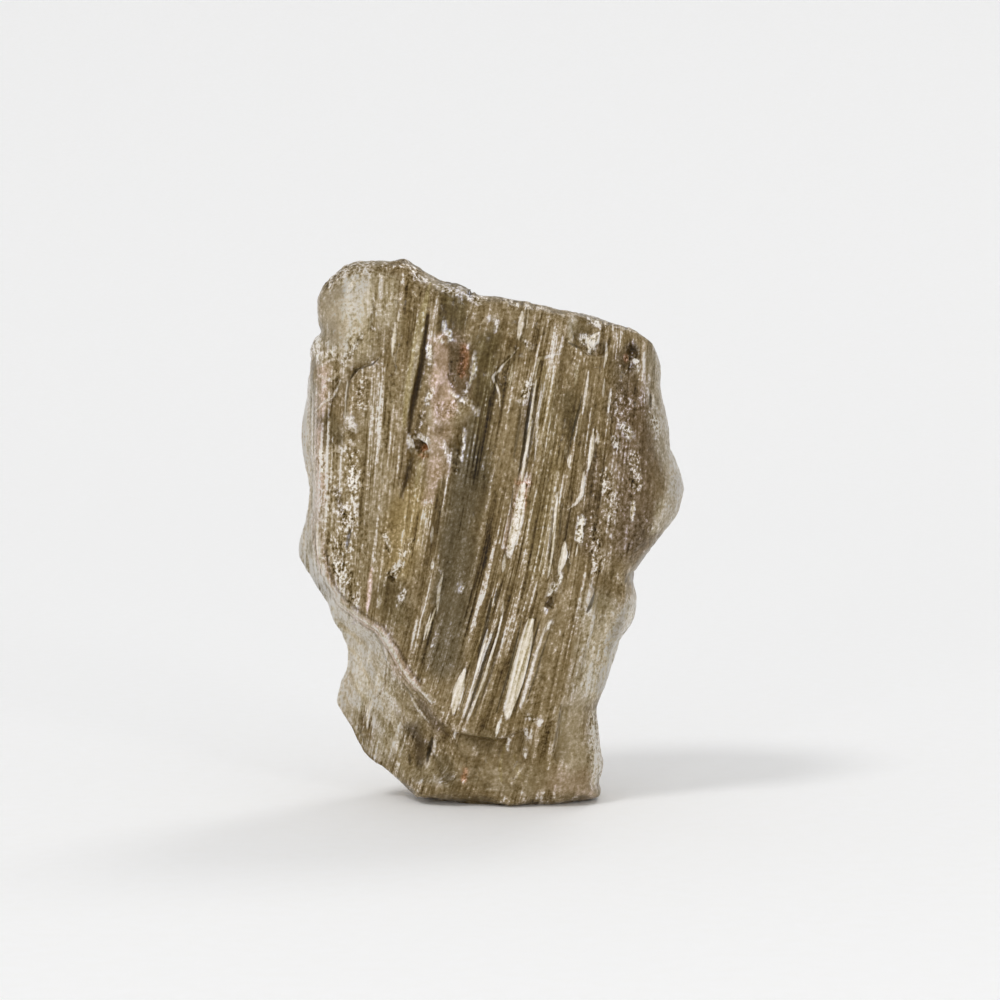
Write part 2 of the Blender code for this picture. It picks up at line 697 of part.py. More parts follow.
def stone_mesh():
    """Both faces and the broken edge between them, as one closed mesh in metres."""
    front = front_ring()
    back = back_ring(front)
    front_lines = step_lines(FRONT_LEDGES, [RIDGE, RECESS + RECESS[:1]])
    front_grid = lattice(front, FRONT_ACROSS, FRONT_ALONG, seed=3)
    front_xz, front_faces = face_mesh(front, front_grid, FRONT_PITS, front_lines)
    back_grid = lattice(back, BACK_ACROSS, BACK_ALONG, seed=5)
    back_xz, back_faces = face_mesh(back, back_grid, BACK_PITS, step_lines(BACK_LEDGES, []))
    front_y = -front_depth(front_xz, front)
    back_y = back_depth(back_xz, back)

    edge_count = len(front.points)
    rows = wall_rows(front, back, front_y[:edge_count], back_y[:edge_count])
    faces = [solid_points(front_xz, front_y), solid_points(back_xz, back_y)]
    points = broken_end(settled(np.vstack(faces + rows)))

    bm = bmesh.new()
    verts = [bm.verts.new(point) for point in points * MM]
    behind = len(front_xz)
    for a, b, c in front_faces:
        bm.faces.new((verts[a], verts[b], verts[c]))
    for a, b, c in back_faces:
        bm.faces.new((verts[behind + c], verts[behind + b], verts[behind + a]))
    middle = behind + len(back_xz)
    starts = [0, *(middle + i * edge_count for i in range(len(rows))), behind]
    for near, far in zip(starts, starts[1:]):
        for i in range(edge_count):
            j = (i + 1) % edge_count
            bm.faces.new((verts[near + i], verts[far + i], verts[far + j], verts[near + j]))
    bmesh.ops.triangulate(bm, faces=bm.faces[:], quad_method="SHORT_EDGE")
    mesh = bpy.data.meshes.new("stone")
    bm.to_mesh(mesh)
    bm.free()
    return mesh


def stone_material():
    """Olive-brown glass, satin where it is broken."""
    material = bpy.data.materials.new("stone_glass")
    material.use_nodes = True
    shader = material.node_tree.nodes["Principled BSDF"]
    shader.inputs["Base Color"].default_value = STONE_COLOUR
    shader.inputs["Roughness"].default_value = STONE_ROUGHNESS
    shader.inputs["Metallic"].default_value = 0.0
    shader.inputs["IOR"].default_value = STONE_IOR
    return material


def clear_scene():
    """Remove every object that is already there."""
    for obj in list(bpy.data.objects):
        bpy.data.objects.remove(obj, do_unlink=True)


def main():
    """Build the stone."""
    clear_scene()
    mesh = stone_mesh()
    mesh.materials.append(stone_material())
    stone = bpy.data.objects.new("stone", mesh)
    bpy.context.scene.collection.objects.link(stone)


main()
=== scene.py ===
"""Looks of one natural glass stone, standing in a plain pale studio.

The stone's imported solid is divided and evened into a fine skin, which is then worked over with
fibres, ledges, pits and crusts and given a see-through olive glass that follows its flow bands.
Places and sizes are millimetres in the stone's own frame unless a name says otherwise: x to the
right of the broad face, y away from the camera, z up from the flat spot it stands on.
"""

import logging
import math
from dataclasses import dataclass, field
from enum import Enum
from itertools import product

import bpy
import numpy as np
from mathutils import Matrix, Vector
from mathutils.bvhtree import BVHTree


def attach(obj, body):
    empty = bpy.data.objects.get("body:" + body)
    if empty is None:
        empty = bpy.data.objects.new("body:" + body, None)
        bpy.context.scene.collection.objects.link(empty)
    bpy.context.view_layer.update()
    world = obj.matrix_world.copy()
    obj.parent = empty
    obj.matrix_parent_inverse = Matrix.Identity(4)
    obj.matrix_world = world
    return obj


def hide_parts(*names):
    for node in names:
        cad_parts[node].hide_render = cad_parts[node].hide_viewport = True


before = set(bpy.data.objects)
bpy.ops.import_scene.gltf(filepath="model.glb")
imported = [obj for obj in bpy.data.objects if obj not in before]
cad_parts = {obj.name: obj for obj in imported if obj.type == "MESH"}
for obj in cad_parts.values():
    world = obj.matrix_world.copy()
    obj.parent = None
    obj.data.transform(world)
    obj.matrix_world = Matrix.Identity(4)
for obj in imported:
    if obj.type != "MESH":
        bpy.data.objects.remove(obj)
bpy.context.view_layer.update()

MM = 0.001
TINY = 1e-9
LOG = logging.getLogger("stone")

# What the skin's own reflection adds to every tint, in linear light.
SHEEN = np.array((0.022, 0.019, 0.015))
# The least part of that which a tint keeps once it is taken off.
LEAST_SHEEN = 0.1
# How fast red, green and blue grow as the glass gets lighter.
HUE_STOPS = (0.86, 1.0, 1.5)

# What mixes the whole numbers of a cell into a random value.
CELL_KEYS = (73856093, 19349663, 83492791)
SEED_KEY = 2654435761
MIX_KEY = 1274126177
LOW_32_BITS = 0xFFFFFFFF
LOW_16_BITS = 0xFFFF
OCTAVE_SHIFT = 7.3

# Where a colour mix node has its share, its two colours and its result.
MIX_SHARE, MIX_UNDER, MIX_OVER, MIX_RESULT = 0, 6, 7, 2

Point = tuple[float, float]
Path = tuple[Point, ...]
Triple = tuple[float, float, float]
Socket = bpy.types.NodeSocket
Input = Socket | float


def smooth(value: np.ndarray, low: float, high: float) -> np.ndarray:
    """Eases from 0 at one value to 1 at another.

    Args:
        value: The numbers to ease.
        low: Where the result is 0.
        high: Where the result is 1.

    Returns:
        Numbers from 0 to 1, in the shape of value.
    """
    share = np.clip((value - low) / (high - low), 0.0, 1.0)
    return share * share * (3.0 - 2.0 * share)


def linear_light(display: Triple) -> Triple:
    """Turns a display colour into linear light.

    Args:
        display: Red, green and blue from 0 to 255.

    Returns:
        Red, green and blue from 0 to 1 in linear light.
    """
    shares = [value / 255.0 for value in display]
    return tuple(s / 12.92 if s <= 0.04045 else ((s + 0.055) / 1.055) ** 2.4 for s in shares)


def placed(name: str, data: bpy.types.ID) -> bpy.types.Object:
    """Puts a new object into the scene.

    Args:
        name: The object's name.
        data: Its mesh, light or camera.

    Returns:
        The object.
    """
    thing = bpy.data.objects.new(name, data)
    bpy.context.scene.collection.objects.link(thing)
    return thing


class Tone(Enum):
    """Tints of the glass and of what is in it, and a painted glint, as display colours from 0 to 255."""

    OLIVE = (130, 112, 79)
    SAND = (161, 145, 114)
    ASH = (189, 176, 150)
    BONE = (218, 206, 186)
    KHAKI = (146, 129, 87)
    HONEY = (144, 123, 81)
    MOSS = (94, 80, 51)
    UMBER = (70, 57, 39)
    DUSK = (98, 87, 65)
    BROWN = (107, 90, 66)
    ROSE = (188, 164, 140)
    RUST = (176, 126, 90)
    CHALK = (240, 230, 213)
    # A painted highlight: the white of lamp glints on small raised facets, laid as a tint.
    GLINT = (253, 248, 238)
    INK = (42, 33, 22)

    def linear(self) -> np.ndarray:
        """Gives the tone as linear light, less what the skin's own sheen adds."""
        return np.maximum(np.array(linear_light(self.value)) - SHEEN, LEAST_SHEEN * SHEEN)


# Short names for the tables of marks.
OLIVE, SAND, ASH, BONE, KHAKI, HONEY, MOSS, UMBER, DUSK, BROWN, ROSE, RUST, CHALK, GLINT, INK = Tone

# The tones that make a line, and how far each goes to the lightest or the darkest.
LINE_TONES = {BONE: 0.66, CHALK: 0.95, GLINT: 1.0, UMBER: -0.4, INK: -0.65}
# A mark that fades out over more of its half width than this isn't a crisp line.
SOFTEST_LINE = 0.5
# How much of its stated width a streak has, and how much light it shuts out when fully laid.
STREAK_WIDTH = 0.85
STREAK_SHUTS = 0.3
# How fully crumbs cover when fully laid, and how much light they shut out.
CRUMB_COVER = 0.6
CRUMB_SHUTS = 0.2


class Edge(Enum):
    """How the outline of a mark breaks up."""

    SOFT = "soft"
    COMBED = "combed"
    CRUMBLED = "crumbled"


@dataclass(frozen=True)
class FlowLines:
    """The lean of the glass's flow bands, which are numbered by where they cross one height.

    Args:
        centre: The band that leans most.
        reach: How far the lean spreads to each side.
        slope: Run to the right for each millimetre up.
        upright_z: The height at which a band's number is its x.
        extra_slope: More lean below the bend.
        bend_z: Height of the bend.
        bend_run: How gently the bend sets in.
        rounds: Steps in the search for a point's band.
    """

    centre: float = 0.5
    reach: float = 9.0
    slope: float = 0.19
    upright_z: float = 17.0
    extra_slope: float = 0.12
    bend_z: float = 14.5
    bend_run: float = 1.5
    rounds: int = 10

    def band(self, x: np.ndarray, z: np.ndarray) -> np.ndarray:
        """Finds the band through each place.

        Args:
            x: Places across.
            z: Places up.

        Returns:
            The number of each place's band.
        """
        below = self.bend_run * np.log1p(np.exp((self.bend_z - z) / self.bend_run))
        shift = self.slope * (z - self.upright_z) - self.extra_slope * below
        band = np.array(x, float)
        for _ in range(self.rounds):
            lean = np.exp(-(((band - self.centre) / self.reach) ** 2))
            band = x - lean * shift
        return band

    def places(self, points: np.ndarray) -> np.ndarray:
        """Turns rows of x, y and z into rows of band, y and z."""
        return np.column_stack([self.band(points[:, 0], points[:, 2]), points[:, 1], points[:, 2]])


@dataclass(frozen=True)
class Grain:
    """Smooth random values in space, the same each run.

    Args:
        size: Width, depth and height of one grain.
        octaves: Layers, each half as large and weaker by the share kept.
        kept: Strength of each layer beside the one before.
        seed: Which random values.
    """

    size: Triple
    octaves: int = 2
    kept: float = 0.5
    seed: int = 1

    def _layer(self, places: np.ndarray, seed: int) -> np.ndarray:
        """Blends random values from the corners of unit cells.

        Args:
            places: Rows of three coordinates, in cells.
            seed: Which random values.

        Returns:
            One value from -1 to 1 for each place.
        """
        cell = np.floor(places).astype(np.int64)
        local = places - cell
        ease = local * local * (3.0 - 2.0 * local)
        total = np.zeros(len(places))
        for corner in product((0, 1), repeat=3):
            key = (cell + np.array(corner)) * np.array(CELL_KEYS)
            mixed = key[:, 0] ^ key[:, 1] ^ key[:, 2] ^ seed * SEED_KEY
            mixed = (mixed ^ (mixed >> 13)) * MIX_KEY & LOW_32_BITS
            value = ((mixed ^ (mixed >> 16)) & LOW_16_BITS) / (LOW_16_BITS / 2.0) - 1.0
            weight = np.where(corner, ease, 1.0 - ease).prod(axis=1)
            total += weight * value
        return total

    def at(self, places: np.ndarray) -> np.ndarray:
        """Sums the layers.

        Args:
            places: Rows of x, y and z.

        Returns:
            One value for each place, mostly from -1 to 1.
        """
        scaled = places / np.array(self.size)
        total = np.zeros(len(places))
        strength = 1.0
        for octave in range(self.octaves):
            shifted = scaled * 2.0**octave + OCTAVE_SHIFT * octave
            total += strength * self._layer(shifted, self.seed + octave)
            strength *= self.kept
        return total


def path_distance(x: np.ndarray, z: np.ndarray, path: Path) -> tuple[np.ndarray, np.ndarray, np.ndarray]:
    """Measures how far places are from a path.

    Args:
        x: Places across.
        z: Places up.
        path: The corners of the path, or a single point.

    Returns:
        The distance, which side of the walk it is on (1 right, -1 left), and how far along, 0 to 1.
    """
    corners = np.array(path if len(path) > 1 else (path[0], path[0]), float)
    best = np.full(len(x), np.inf)
    side = np.ones(len(x))
    way = np.full(len(x), 0.5)
    lengths = np.maximum(np.linalg.norm(np.diff(corners, axis=0), axis=1), TINY)
    done = 0.0
    for (ax, az), (bx, bz), length in zip(corners, corners[1:], lengths):
        run_x, run_z = (bx - ax) / length, (bz - az) / length
        along = np.clip((x - ax) * run_x + (z - az) * run_z, 0.0, length)
        gap = np.hypot(x - ax - along * run_x, z - az - along * run_z)
        nearer = gap < best
        cross = run_x * (z - az) - run_z * (x - ax)
        side = np.where(nearer, np.where(cross < 0.0, 1.0, -1.0), side)
        if len(path) > 1:
            way = np.where(nearer, (done + along) / lengths.sum(), way)
        best = np.minimum(best, gap)
        done += length
    return best, side, way


@dataclass(frozen=True)
class Stroke:
    """One mark on a face, and everything that it changes there.

    Args:
        path: The middle line, or a single point.
        half_width: How far the mark reaches to each side.
        tone: The tint that it lays over the glass.
        amount: How strongly the tint covers.
        edge: How its outline breaks up.
        fade: The share of the half width over which it fades out.
        taper: The share of its width that it loses towards its ends.
        height: How far it stands proud, or is sunk where negative.
        grain: Change to how granular the skin is.
        fibre: Change to how fibrous it is.
        through: Change to how much light passes through.
    """

    path: Path
    half_width: float
    tone: Tone
    amount: float
    edge: Edge = Edge.SOFT
    fade: float = 0.8
    taper: float = 0.0
    height: float = 0.0
    grain: float = 0.0
    fibre: float = 0.0
    through: float = 0.0

    def reach(self, way: np.ndarray) -> np.ndarray:
        """Gives the half width at each share of the way along."""
        return self.half_width * (1.0 - self.taper * (2.0 * way - 1.0) ** 2)

    def mask(self, x: np.ndarray, z: np.ndarray) -> np.ndarray:
        """Says how fully each place lies in the mark, from 0 to 1."""
        distance, _, way = path_distance(x, z, self.path)
        return 1.0 - smooth(distance / self.reach(way), 1.0 - self.fade, 1.0)

    def line_strength(self) -> float:
        """Says how strongly the material draws it as a crisp line.

        Returns:
            More than 0 for a light line, less for a dark one, and 0 where it isn't one.
        """
        if self.edge is not Edge.COMBED or self.fade > SOFTEST_LINE:
            return 0.0
        return self.amount * LINE_TONES.get(self.tone, 0.0)


def wash(tone: Tone, half_width: float, amount: float, *path: Point, **more: float) -> Stroke:
    """Makes a broad soft tint."""
    return Stroke(path, half_width, tone, amount, **more)


def streak(tone: Tone, half_width: float, amount: float, *path: Point, **more: float) -> Stroke:
    """Makes a crisp mark along the fibres, with combed tapering ends."""
    plain = {"fade": 0.35, "taper": 0.8, "through": -STREAK_SHUTS * amount}
    return Stroke(path, STREAK_WIDTH * half_width, tone, amount, Edge.COMBED, **(plain | more))


def crumbs(tone: Tone, half_width: float, amount: float, *path: Point, **more: float) -> Stroke:
    """Makes a granular mark with a crumbled outline."""
    plain = {"fade": 0.7, "grain": 0.4, "through": -CRUMB_SHUTS * amount}
    return Stroke(path, half_width, tone, CRUMB_COVER * amount, Edge.CRUMBLED, **(plain | more))


def crest_line(tone: Tone, half_width: float, amount: float, path: Path, across: float, up: float,
               **more: float) -> Stroke:
    """Makes a soft combed mark beside a path.

    Args:
        tone: Its tint.
        half_width: How far it reaches to each side.
        amount: How strongly it covers.
        path: What it runs beside.
        across: How far to the right of the path.
        up: How far above it.
        more: Its other values.

    Returns:
        The mark.
    """
    beside = tuple((x + across, z + up) for x, z in path)
    return Stroke(beside, half_width, tone, amount, Edge.COMBED, **more)


class LineDrawing:
    """Crisp lines, told to the material as distances, which stay true between the mesh's points.

    A place holds one line in each channel, so lines that lie close together are kept apart. The
    distance between two lines is measured from a number of probes along one of them.
    """

    probes = 13

    def __init__(self, strokes: tuple[Stroke, ...], channels: int, margin: float) -> None:
        """Sorts the lines into channels.

        Args:
            strokes: The marks, of which only the lines are drawn.
            channels: How many channels there are.
            margin: How far beyond a line's edge its distance is held.
        """
        self.margin = margin
        self.channels: list[list[Stroke]] = [[] for _ in range(channels)]
        for stroke in strokes:
            if stroke.line_strength():
                room = [min((self._gap(stroke, other) for other in channel), default=math.inf)
                        for channel in self.channels]
                self.channels[int(np.argmax(room))].append(stroke)

    @classmethod
    def _gap(cls, stroke: Stroke, other: Stroke) -> float:
        """Measures the least distance between two marks.

        Args:
            stroke: One mark.
            other: The other.

        Returns:
            The distance between their edges.
        """
        corners = np.array(stroke.path)
        steps = np.linspace(0, len(corners) - 1, cls.probes)
        x, z = (np.interp(steps, range(len(corners)), corners[:, axis]) for axis in (0, 1))
        return path_distance(x, z, other.path)[0].min() - stroke.half_width - other.half_width

    def values(self, number: int, x: np.ndarray, z: np.ndarray) -> np.ndarray:
        """Works out one channel.

        Args:
            number: Which channel.
            x: Places across.
            z: Places up.

        Returns:
            Rows of signed distance from the nearest line, its half width and its strength.
        """
        rows = np.tile((1.0, 0.0, 0.0), (len(x), 1))
        best = np.full(len(x), np.inf)
        for stroke in self.channels[number]:
            distance, side, way = path_distance(x, z, stroke.path)
            half = stroke.reach(way)
            held = (way > 0.0) & (way < 1.0) & (distance < half + self.margin)
            nearer = distance < best
            line = np.column_stack([distance * side, half, held * stroke.line_strength()])
            rows[nearer] = line[nearer]
            best = np.minimum(best, distance)
        return rows


@dataclass(frozen=True)
class Ledge:
    """A sharp step with a thin lip: the right of the walk stands higher.

    Args:
        path: The line of the step.
        rise: How high it is.
        reach: How far from the line it has faded out.
        lip: Height of the lip along its top.
        lip_width: How far the lip spreads.
        sharpness: How far from the line the step is full.
        end_share: The share of the way over which each end fades in.
    """

    path: Path
    rise: float
    reach: float = 0.9
    lip: float = 0.05
    lip_width: float = 0.14
    sharpness: float = 0.10
    end_share: float = 0.12

    def height(self, x: np.ndarray, z: np.ndarray) -> np.ndarray:
        """Works out the step at each place.

        Args:
            x: Places across.
            z: Places up.

        Returns:
            The change in height.
        """
        distance, side, way = path_distance(x, z, self.path)
        ends = smooth(way, 0.0, self.end_share) * (1.0 - smooth(way, 1.0 - self.end_share, 1.0))
        fade = (1.0 - smooth(distance, 0.0, self.reach)) * ends
        step = side * smooth(distance, 0.0, self.sharpness) * self.rise / 2.0
        crest = self.lip * np.exp(-((distance / self.lip_width) ** 2)) * (side > 0.0)
        return (step + crest) * fade


@dataclass(frozen=True)
class Pit:
    """A small deep hole with an uneven crusted rim.

    Args:
        x: Place across.
        z: Place up.
        radius: Half its width.
        depth: How deep it is.
        crust: Height of the rim.
        lobes: How far it bulges in three places and in five.
        bottom: The share of its radius at which its wall ends.
        rim: Where the rim is highest and how far it spreads, as shares of the radius.
    """

    x: float
    z: float
    radius: float
    depth: float
    crust: float = 0.06
    lobes: tuple[float, float] = (0.22, 0.14)
    bottom: float = 0.35
    rim: tuple[float, float] = (1.15, 0.25)

    def height(self, x: np.ndarray, z: np.ndarray) -> np.ndarray:
        """Works out the hole and its rim.

        Args:
            x: Places across.
            z: Places up.

        Returns:
            The change in height.
        """
        turn = np.arctan2(z - self.z, x - self.x)
        three, five = self.lobes
        uneven = 1.0 + three * np.sin(3.0 * turn + self.x) + five * np.sin(5.0 * turn + self.z)
        away = np.hypot(x - self.x, z - self.z) / (self.radius * uneven)
        bowl = -self.depth * (1.0 - smooth(away, self.bottom, 1.0))
        middle, spread = self.rim
        rim = self.crust * np.exp(-(((away - middle) / spread) ** 2))
        return bowl + rim


# The ridge that parts the broad face from the hollow on its lower left.
RIDGE: Path = (
    (-10.5, 27.6), (-10.75, 25.8), (-10.85, 23.2), (-10.9, 20.6), (-10.95, 18.1), (-10.8, 16.3),
    (-10.4, 14.6), (-9.6, 13.2), (-8.4, 12.3), (-7.0, 11.4), (-6.2, 10.2), (-5.6, 8.9),
    (-4.7, 7.9), (-3.7, 6.9), (-2.9, 5.8), (-2.1, 5.0), (-1.3, 3.7),
)

# Broad tints of the front.
FRONT_WASHES: tuple[Stroke, ...] = (
    wash(ASH, 3.0, 0.9, (-8.6, 33.8), (-8.9, 30.2), fibre=-0.3, through=0.2),
    wash(BONE, 0.8, 0.5, (-8.6, 33.2), (-8.4, 30.6), fibre=-0.2),
    wash(ASH, 0.9, 0.7, (-6.4, 33.6), (-6.6, 31.0)),
    wash(SAND, 0.9, 0.85, (-9.9, 32.6), (-9.9, 31.0), (-9.6, 29.8), grain=-0.2, fibre=-0.3, through=0.2),
    wash(SAND, 0.9, 0.5, (-9.3, 28.2), (-10.4, 27.2), (-10.4, 26.6), grain=0.2),
    wash(OLIVE, 0.8, 0.7, (-10.2, 26.8), (-10.1, 24.8)),
    wash(SAND, 0.7, 0.7, (-5.6, 31.0), (-5.9, 28.0), (-6.1, 25.8), fibre=-0.1),
    wash(OLIVE, 0.9, 0.7, (-8.0, 27.2), (-8.2, 25.4), grain=0.5),
    wash(SAND, 2.0, 0.6, (-9.3, 23.5), (-9.0, 19.0), (-8.8, 15.0), grain=0.1),
    wash(SAND, 1.5, 0.5, (-7.2, 26.6), (-7.0, 20.0), (-6.9, 15.0)),
    wash(SAND, 0.9, 0.7, (-10.4, 22.8), (-10.3, 19.0), (-10.1, 15.6), grain=0.2),
    wash(HONEY, 1.8, 1.0, (-5.0, 19.6), (-5.5, 17.6), (-5.8, 15.6), through=0.1),
    wash(MOSS, 1.5, 0.7, (-6.3, 13.9), (-5.9, 12.2)),
    wash(MOSS, 1.4, 1.0, (-2.1, 32.6), (-2.3, 31.0), fade=0.6, fibre=-0.2),
    wash(OLIVE, 0.8, 0.6, (0.6, 30.6), (0.2, 28.9)),
    wash(MOSS, 1.4, 1.0, (-0.1, 29.6), (-0.5, 26.0), (-1.0, 21.6), fibre=0.3),
    wash(DUSK, 2.0, 0.85, (-1.4, 22.4), (-1.9, 18.0), (-2.5, 12.5), (-3.0, 9.6), through=-0.1),
    wash(DUSK, 0.8, 0.6, (-1.3, 24.6), (-1.9, 21.6), (-2.8, 17.4), (-3.3, 13.6), fibre=-0.45),
    wash(OLIVE, 1.2, 0.8, (1.0, 20.4), (0.4, 16.0), (-0.6, 11.0), fibre=0.4),
    wash(KHAKI, 1.3, 0.3, (3.4, 27.4), (3.7, 22.0), (3.0, 15.5)),
    wash(SAND, 0.5, 0.6, (1.4, 28.6), (1.2, 27.0)),
    wash(MOSS, 0.8, 0.8, (5.0, 26.4), (5.1, 23.8)),
    wash(MOSS, 0.8, 0.6, (6.0, 30.9), (5.9, 30.2)),
    wash(UMBER, 0.5, 0.5, (2.3, 26.0), (2.0, 23.6)),
    wash(UMBER, 1.5, 0.6, (8.6, 28.4), (8.3, 25.6), grain=0.35),
    wash(BROWN, 2.5, 0.95, (9.4, 25.5), (9.2, 21.0), (8.9, 17.4), grain=0.2, fibre=-0.2),
    wash(BROWN, 1.0, 0.6, (6.6, 22.0), (6.4, 17.0), grain=0.3),
    wash(ASH, 1.1, 0.75, (10.9, 28.8), (10.8, 25.0), (11.9, 21.0), (11.6, 18.7), grain=-0.1, fibre=-0.3,
        through=0.25),
    wash(UMBER, 0.7, 0.5, (11.2, 17.2), (10.6, 16.4), (9.3, 14.6)),
    wash(ASH, 1.7, 0.8, (6.8, 13.0), (6.6, 10.4), (6.2, 7.4), fibre=-0.2, through=0.1),
    wash(BONE, 1.1, 0.7, (7.1, 12.4), (7.0, 10.0), (6.6, 7.8), fibre=-0.1),
    wash(ASH, 0.7, 0.7, (10.9, 19.6), (10.8, 18.0), fibre=0.1),
    wash(BONE, 1.1, 1.0, (8.6, 12.8), (8.0, 10.4), (7.4, 7.6), fibre=-0.2, through=0.3),
    wash(OLIVE, 1.1, 0.9, (4.2, 12.4), (4.0, 9.0), (3.4, 6.6), fibre=-0.3),
    wash(SAND, 1.5, 0.8, (5.2, 6.2), (5.0, 4.2), (5.6, 3.2), fibre=-0.5, grain=-0.15, through=0.1),
    wash(ROSE, 1.2, 0.25, (3.8, 2.0), (6.2, 1.2), fibre=-0.45, grain=-0.15),
    wash(BONE, 0.7, 0.7, (6.9, 5.6), (6.8, 1.6), grain=0.3, through=0.1),
    wash(OLIVE, 2.0, 0.9, (-1.2, 3.2), (0.6, 2.5), (2.6, 2.6), fibre=-0.35, through=0.1),
    wash(SAND, 1.4, 0.4, (0.0, 2.0), (2.6, 2.2), fibre=-0.2),
    wash(MOSS, 0.8, 0.6, (0.2, 4.6), (-1.2, 4.6), fibre=-0.3),
    wash(BONE, 1.4, 0.62, (-12.0, 26.5), (-12.1, 22.6), (-11.7, 19.2), (-12.0, 16.0), (-11.0, 13.6),
        fibre=0.1, grain=-0.1, through=0.2),
    wash(CHALK, 0.9, 0.9, (-12.0, 17.4), (-11.6, 15.2), fibre=-0.1),
    wash(BONE, 2.8, 0.95, (-10.4, 12.4), (-9.2, 9.6), (-8.8, 6.8), fibre=-0.3, grain=-0.2, through=0.15),
    wash(ASH, 1.7, 0.8, (-7.4, 10.4), (-6.6, 7.4), (-6.6, 3.6), fibre=-0.3, through=0.1),
    wash(SAND, 1.2, 0.7, (-5.0, 7.4), (-4.8, 5.6), fibre=-0.2),
    wash(SAND, 0.9, 0.6, (-9.4, 7.6), (-9.2, 6.6)),
    wash(OLIVE, 0.7, 0.6, (-8.3, 4.7), (-8.0, 3.9)),
    wash(UMBER, 0.8, 0.8, (-4.9, 5.0), (-4.4, 4.0), (-4.4, 2.8)),
    wash(SAND, 1.0, 0.8, (-5.9, 2.1), (-3.4, 2.0), fibre=-0.3),
    wash(BROWN, 0.7, 0.8, (-4.3, 6.6), (-3.4, 5.4)),
    wash(MOSS, 0.9, 0.7, (-3.0, 2.6), (-2.6, 1.6)),
)

# The marks of the front's upper left.
FRONT_UPPER_LEFT: tuple[Stroke, ...] = (
    crumbs(OLIVE, 0.6, 0.9, (-10.1, 33.3), (-9.4, 34.1), (-8.6, 34.4), (-7.2, 34.4), (-5.6, 34.5),
        (-4.8, 33.9), grain=0.5),
    crumbs(BONE, 0.35, 0.5, (-4.6, 33.8), (-3.9, 33.5)),
    crumbs(BONE, 0.36, 0.8, (-3.3, 33.2), (-2.3, 32.9), (-1.3, 32.6), (-0.7, 32.3), grain=0.5),
    crumbs(INK, 0.28, 0.9, (-1.25, 32.75)),
    streak(CHALK, 0.22, 0.6, (-7.55, 34.0), (-7.65, 32.6), (-7.6, 31.3)),
    streak(CHALK, 0.16, 0.6, (-6.85, 33.9), (-6.95, 32.5)),
    streak(CHALK, 0.2, 0.4, (-8.9, 33.4), (-9.0, 32.2)),
    streak(GLINT, 0.13, 0.9, (-5.95, 30.9), (-6.05, 29.9), (-6.15, 28.8), height=0.05),
    streak(CHALK, 0.1, 0.7, (-5.75, 31.6), (-5.8, 31.0)),
    crumbs(MOSS, 0.2, 0.8, (-7.35, 32.1), (-7.5, 30.4)),
    crumbs(BONE, 0.5, 0.8, (-10.9, 29.7), (-11.2, 28.9), (-10.7, 28.6), (-10.1, 28.9), grain=0.7),
    crumbs(MOSS, 0.3, 0.6, (-8.0, 30.2), (-8.5, 29.4), (-9.2, 28.5), grain=0.7),
    crumbs(CHALK, 0.3, 0.5, (-8.6, 30.2), (-9.0, 29.4), grain=0.6),
    streak(INK, 0.07, 0.8, (-6.9, 28.8), (-7.4, 28.3), (-8.5, 27.95), (-8.85, 27.2), (-8.95, 26.0),
        height=-0.1),
    streak(CHALK, 0.09, 0.95, (-9.0, 27.3), (-9.1, 26.2), (-9.1, 24.9), height=0.08),
    streak(BONE, 0.09, 0.85, (-11.2, 25.1), (-10.5, 25.9), (-9.9, 26.3), (-9.4, 27.4), height=0.1),
    streak(BONE, 0.1, 0.6, (-10.9, 27.6), (-10.2, 27.3), (-9.6, 27.5), height=0.05),
    wash(MOSS, 0.7, 0.85, (-10.5, 25.0), (-10.2, 24.4), (-9.9, 23.6), through=0.15, height=-0.1),
    crumbs(CHALK, 0.35, 0.6, (-8.8, 24.9), (-8.6, 24.3), grain=0.8),
    crumbs(CHALK, 0.2, 0.6, (-10.75, 22.8), (-10.65, 21.5)),
    crumbs(SAND, 0.75, 0.6, (-8.6, 22.6), (-8.7, 20.6), (-9.0, 18.8), grain=0.6),
    crumbs(BONE, 0.4, 0.6, (-8.6, 21.6), (-8.8, 20.8), grain=0.6),
    crumbs(UMBER, 0.35, 0.7, (-9.6, 20.2), (-9.3, 18.6), grain=0.9),
    crumbs(SAND, 0.95, 0.6, (-9.1, 18.8), (-9.4, 17.0), (-9.1, 14.6), (-8.4, 13.6), grain=0.6),
    streak(INK, 0.14, 0.8, (-8.8, 18.0), (-9.1, 16.6), height=-0.06),
    crumbs(CHALK, 0.4, 0.6, (-9.7, 15.6), (-9.2, 14.6), grain=0.9),
    streak(OLIVE, 0.45, 0.6, (-4.9, 32.6), (-5.6, 28.6), (-6.0, 25.2), fade=0.8),
    streak(KHAKI, 0.5, 1.0, (-3.8, 33.4), (-4.5, 30.2), (-5.0, 27.4), (-5.45, 24.4), fade=0.7, fibre=-0.3,
        through=0.1, height=0.06),
    streak(SAND, 0.2, 0.8, (-4.3, 31.4), (-4.75, 28.4), (-5.1, 26.6), fade=0.8, fibre=-0.2, through=0.0),
    streak(UMBER, 0.46, 0.95, (-3.9, 31.4), (-4.3, 28.2), (-4.85, 25.8), (-5.1, 24.0), fade=0.8, taper=0.5,
        height=-0.08),
    streak(UMBER, 0.24, 0.8, (-4.1, 29.2), (-4.6, 26.6), (-4.95, 24.6), fade=0.8, height=-0.05),
    streak(UMBER, 0.34, 0.85, (-4.9, 22.6), (-5.2, 21.4), (-5.65, 19.9), fade=0.8, height=-0.06),
    streak(KHAKI, 0.3, 0.6, (-4.4, 22.3), (-4.75, 20.3), fade=0.7, fibre=-0.2),
)

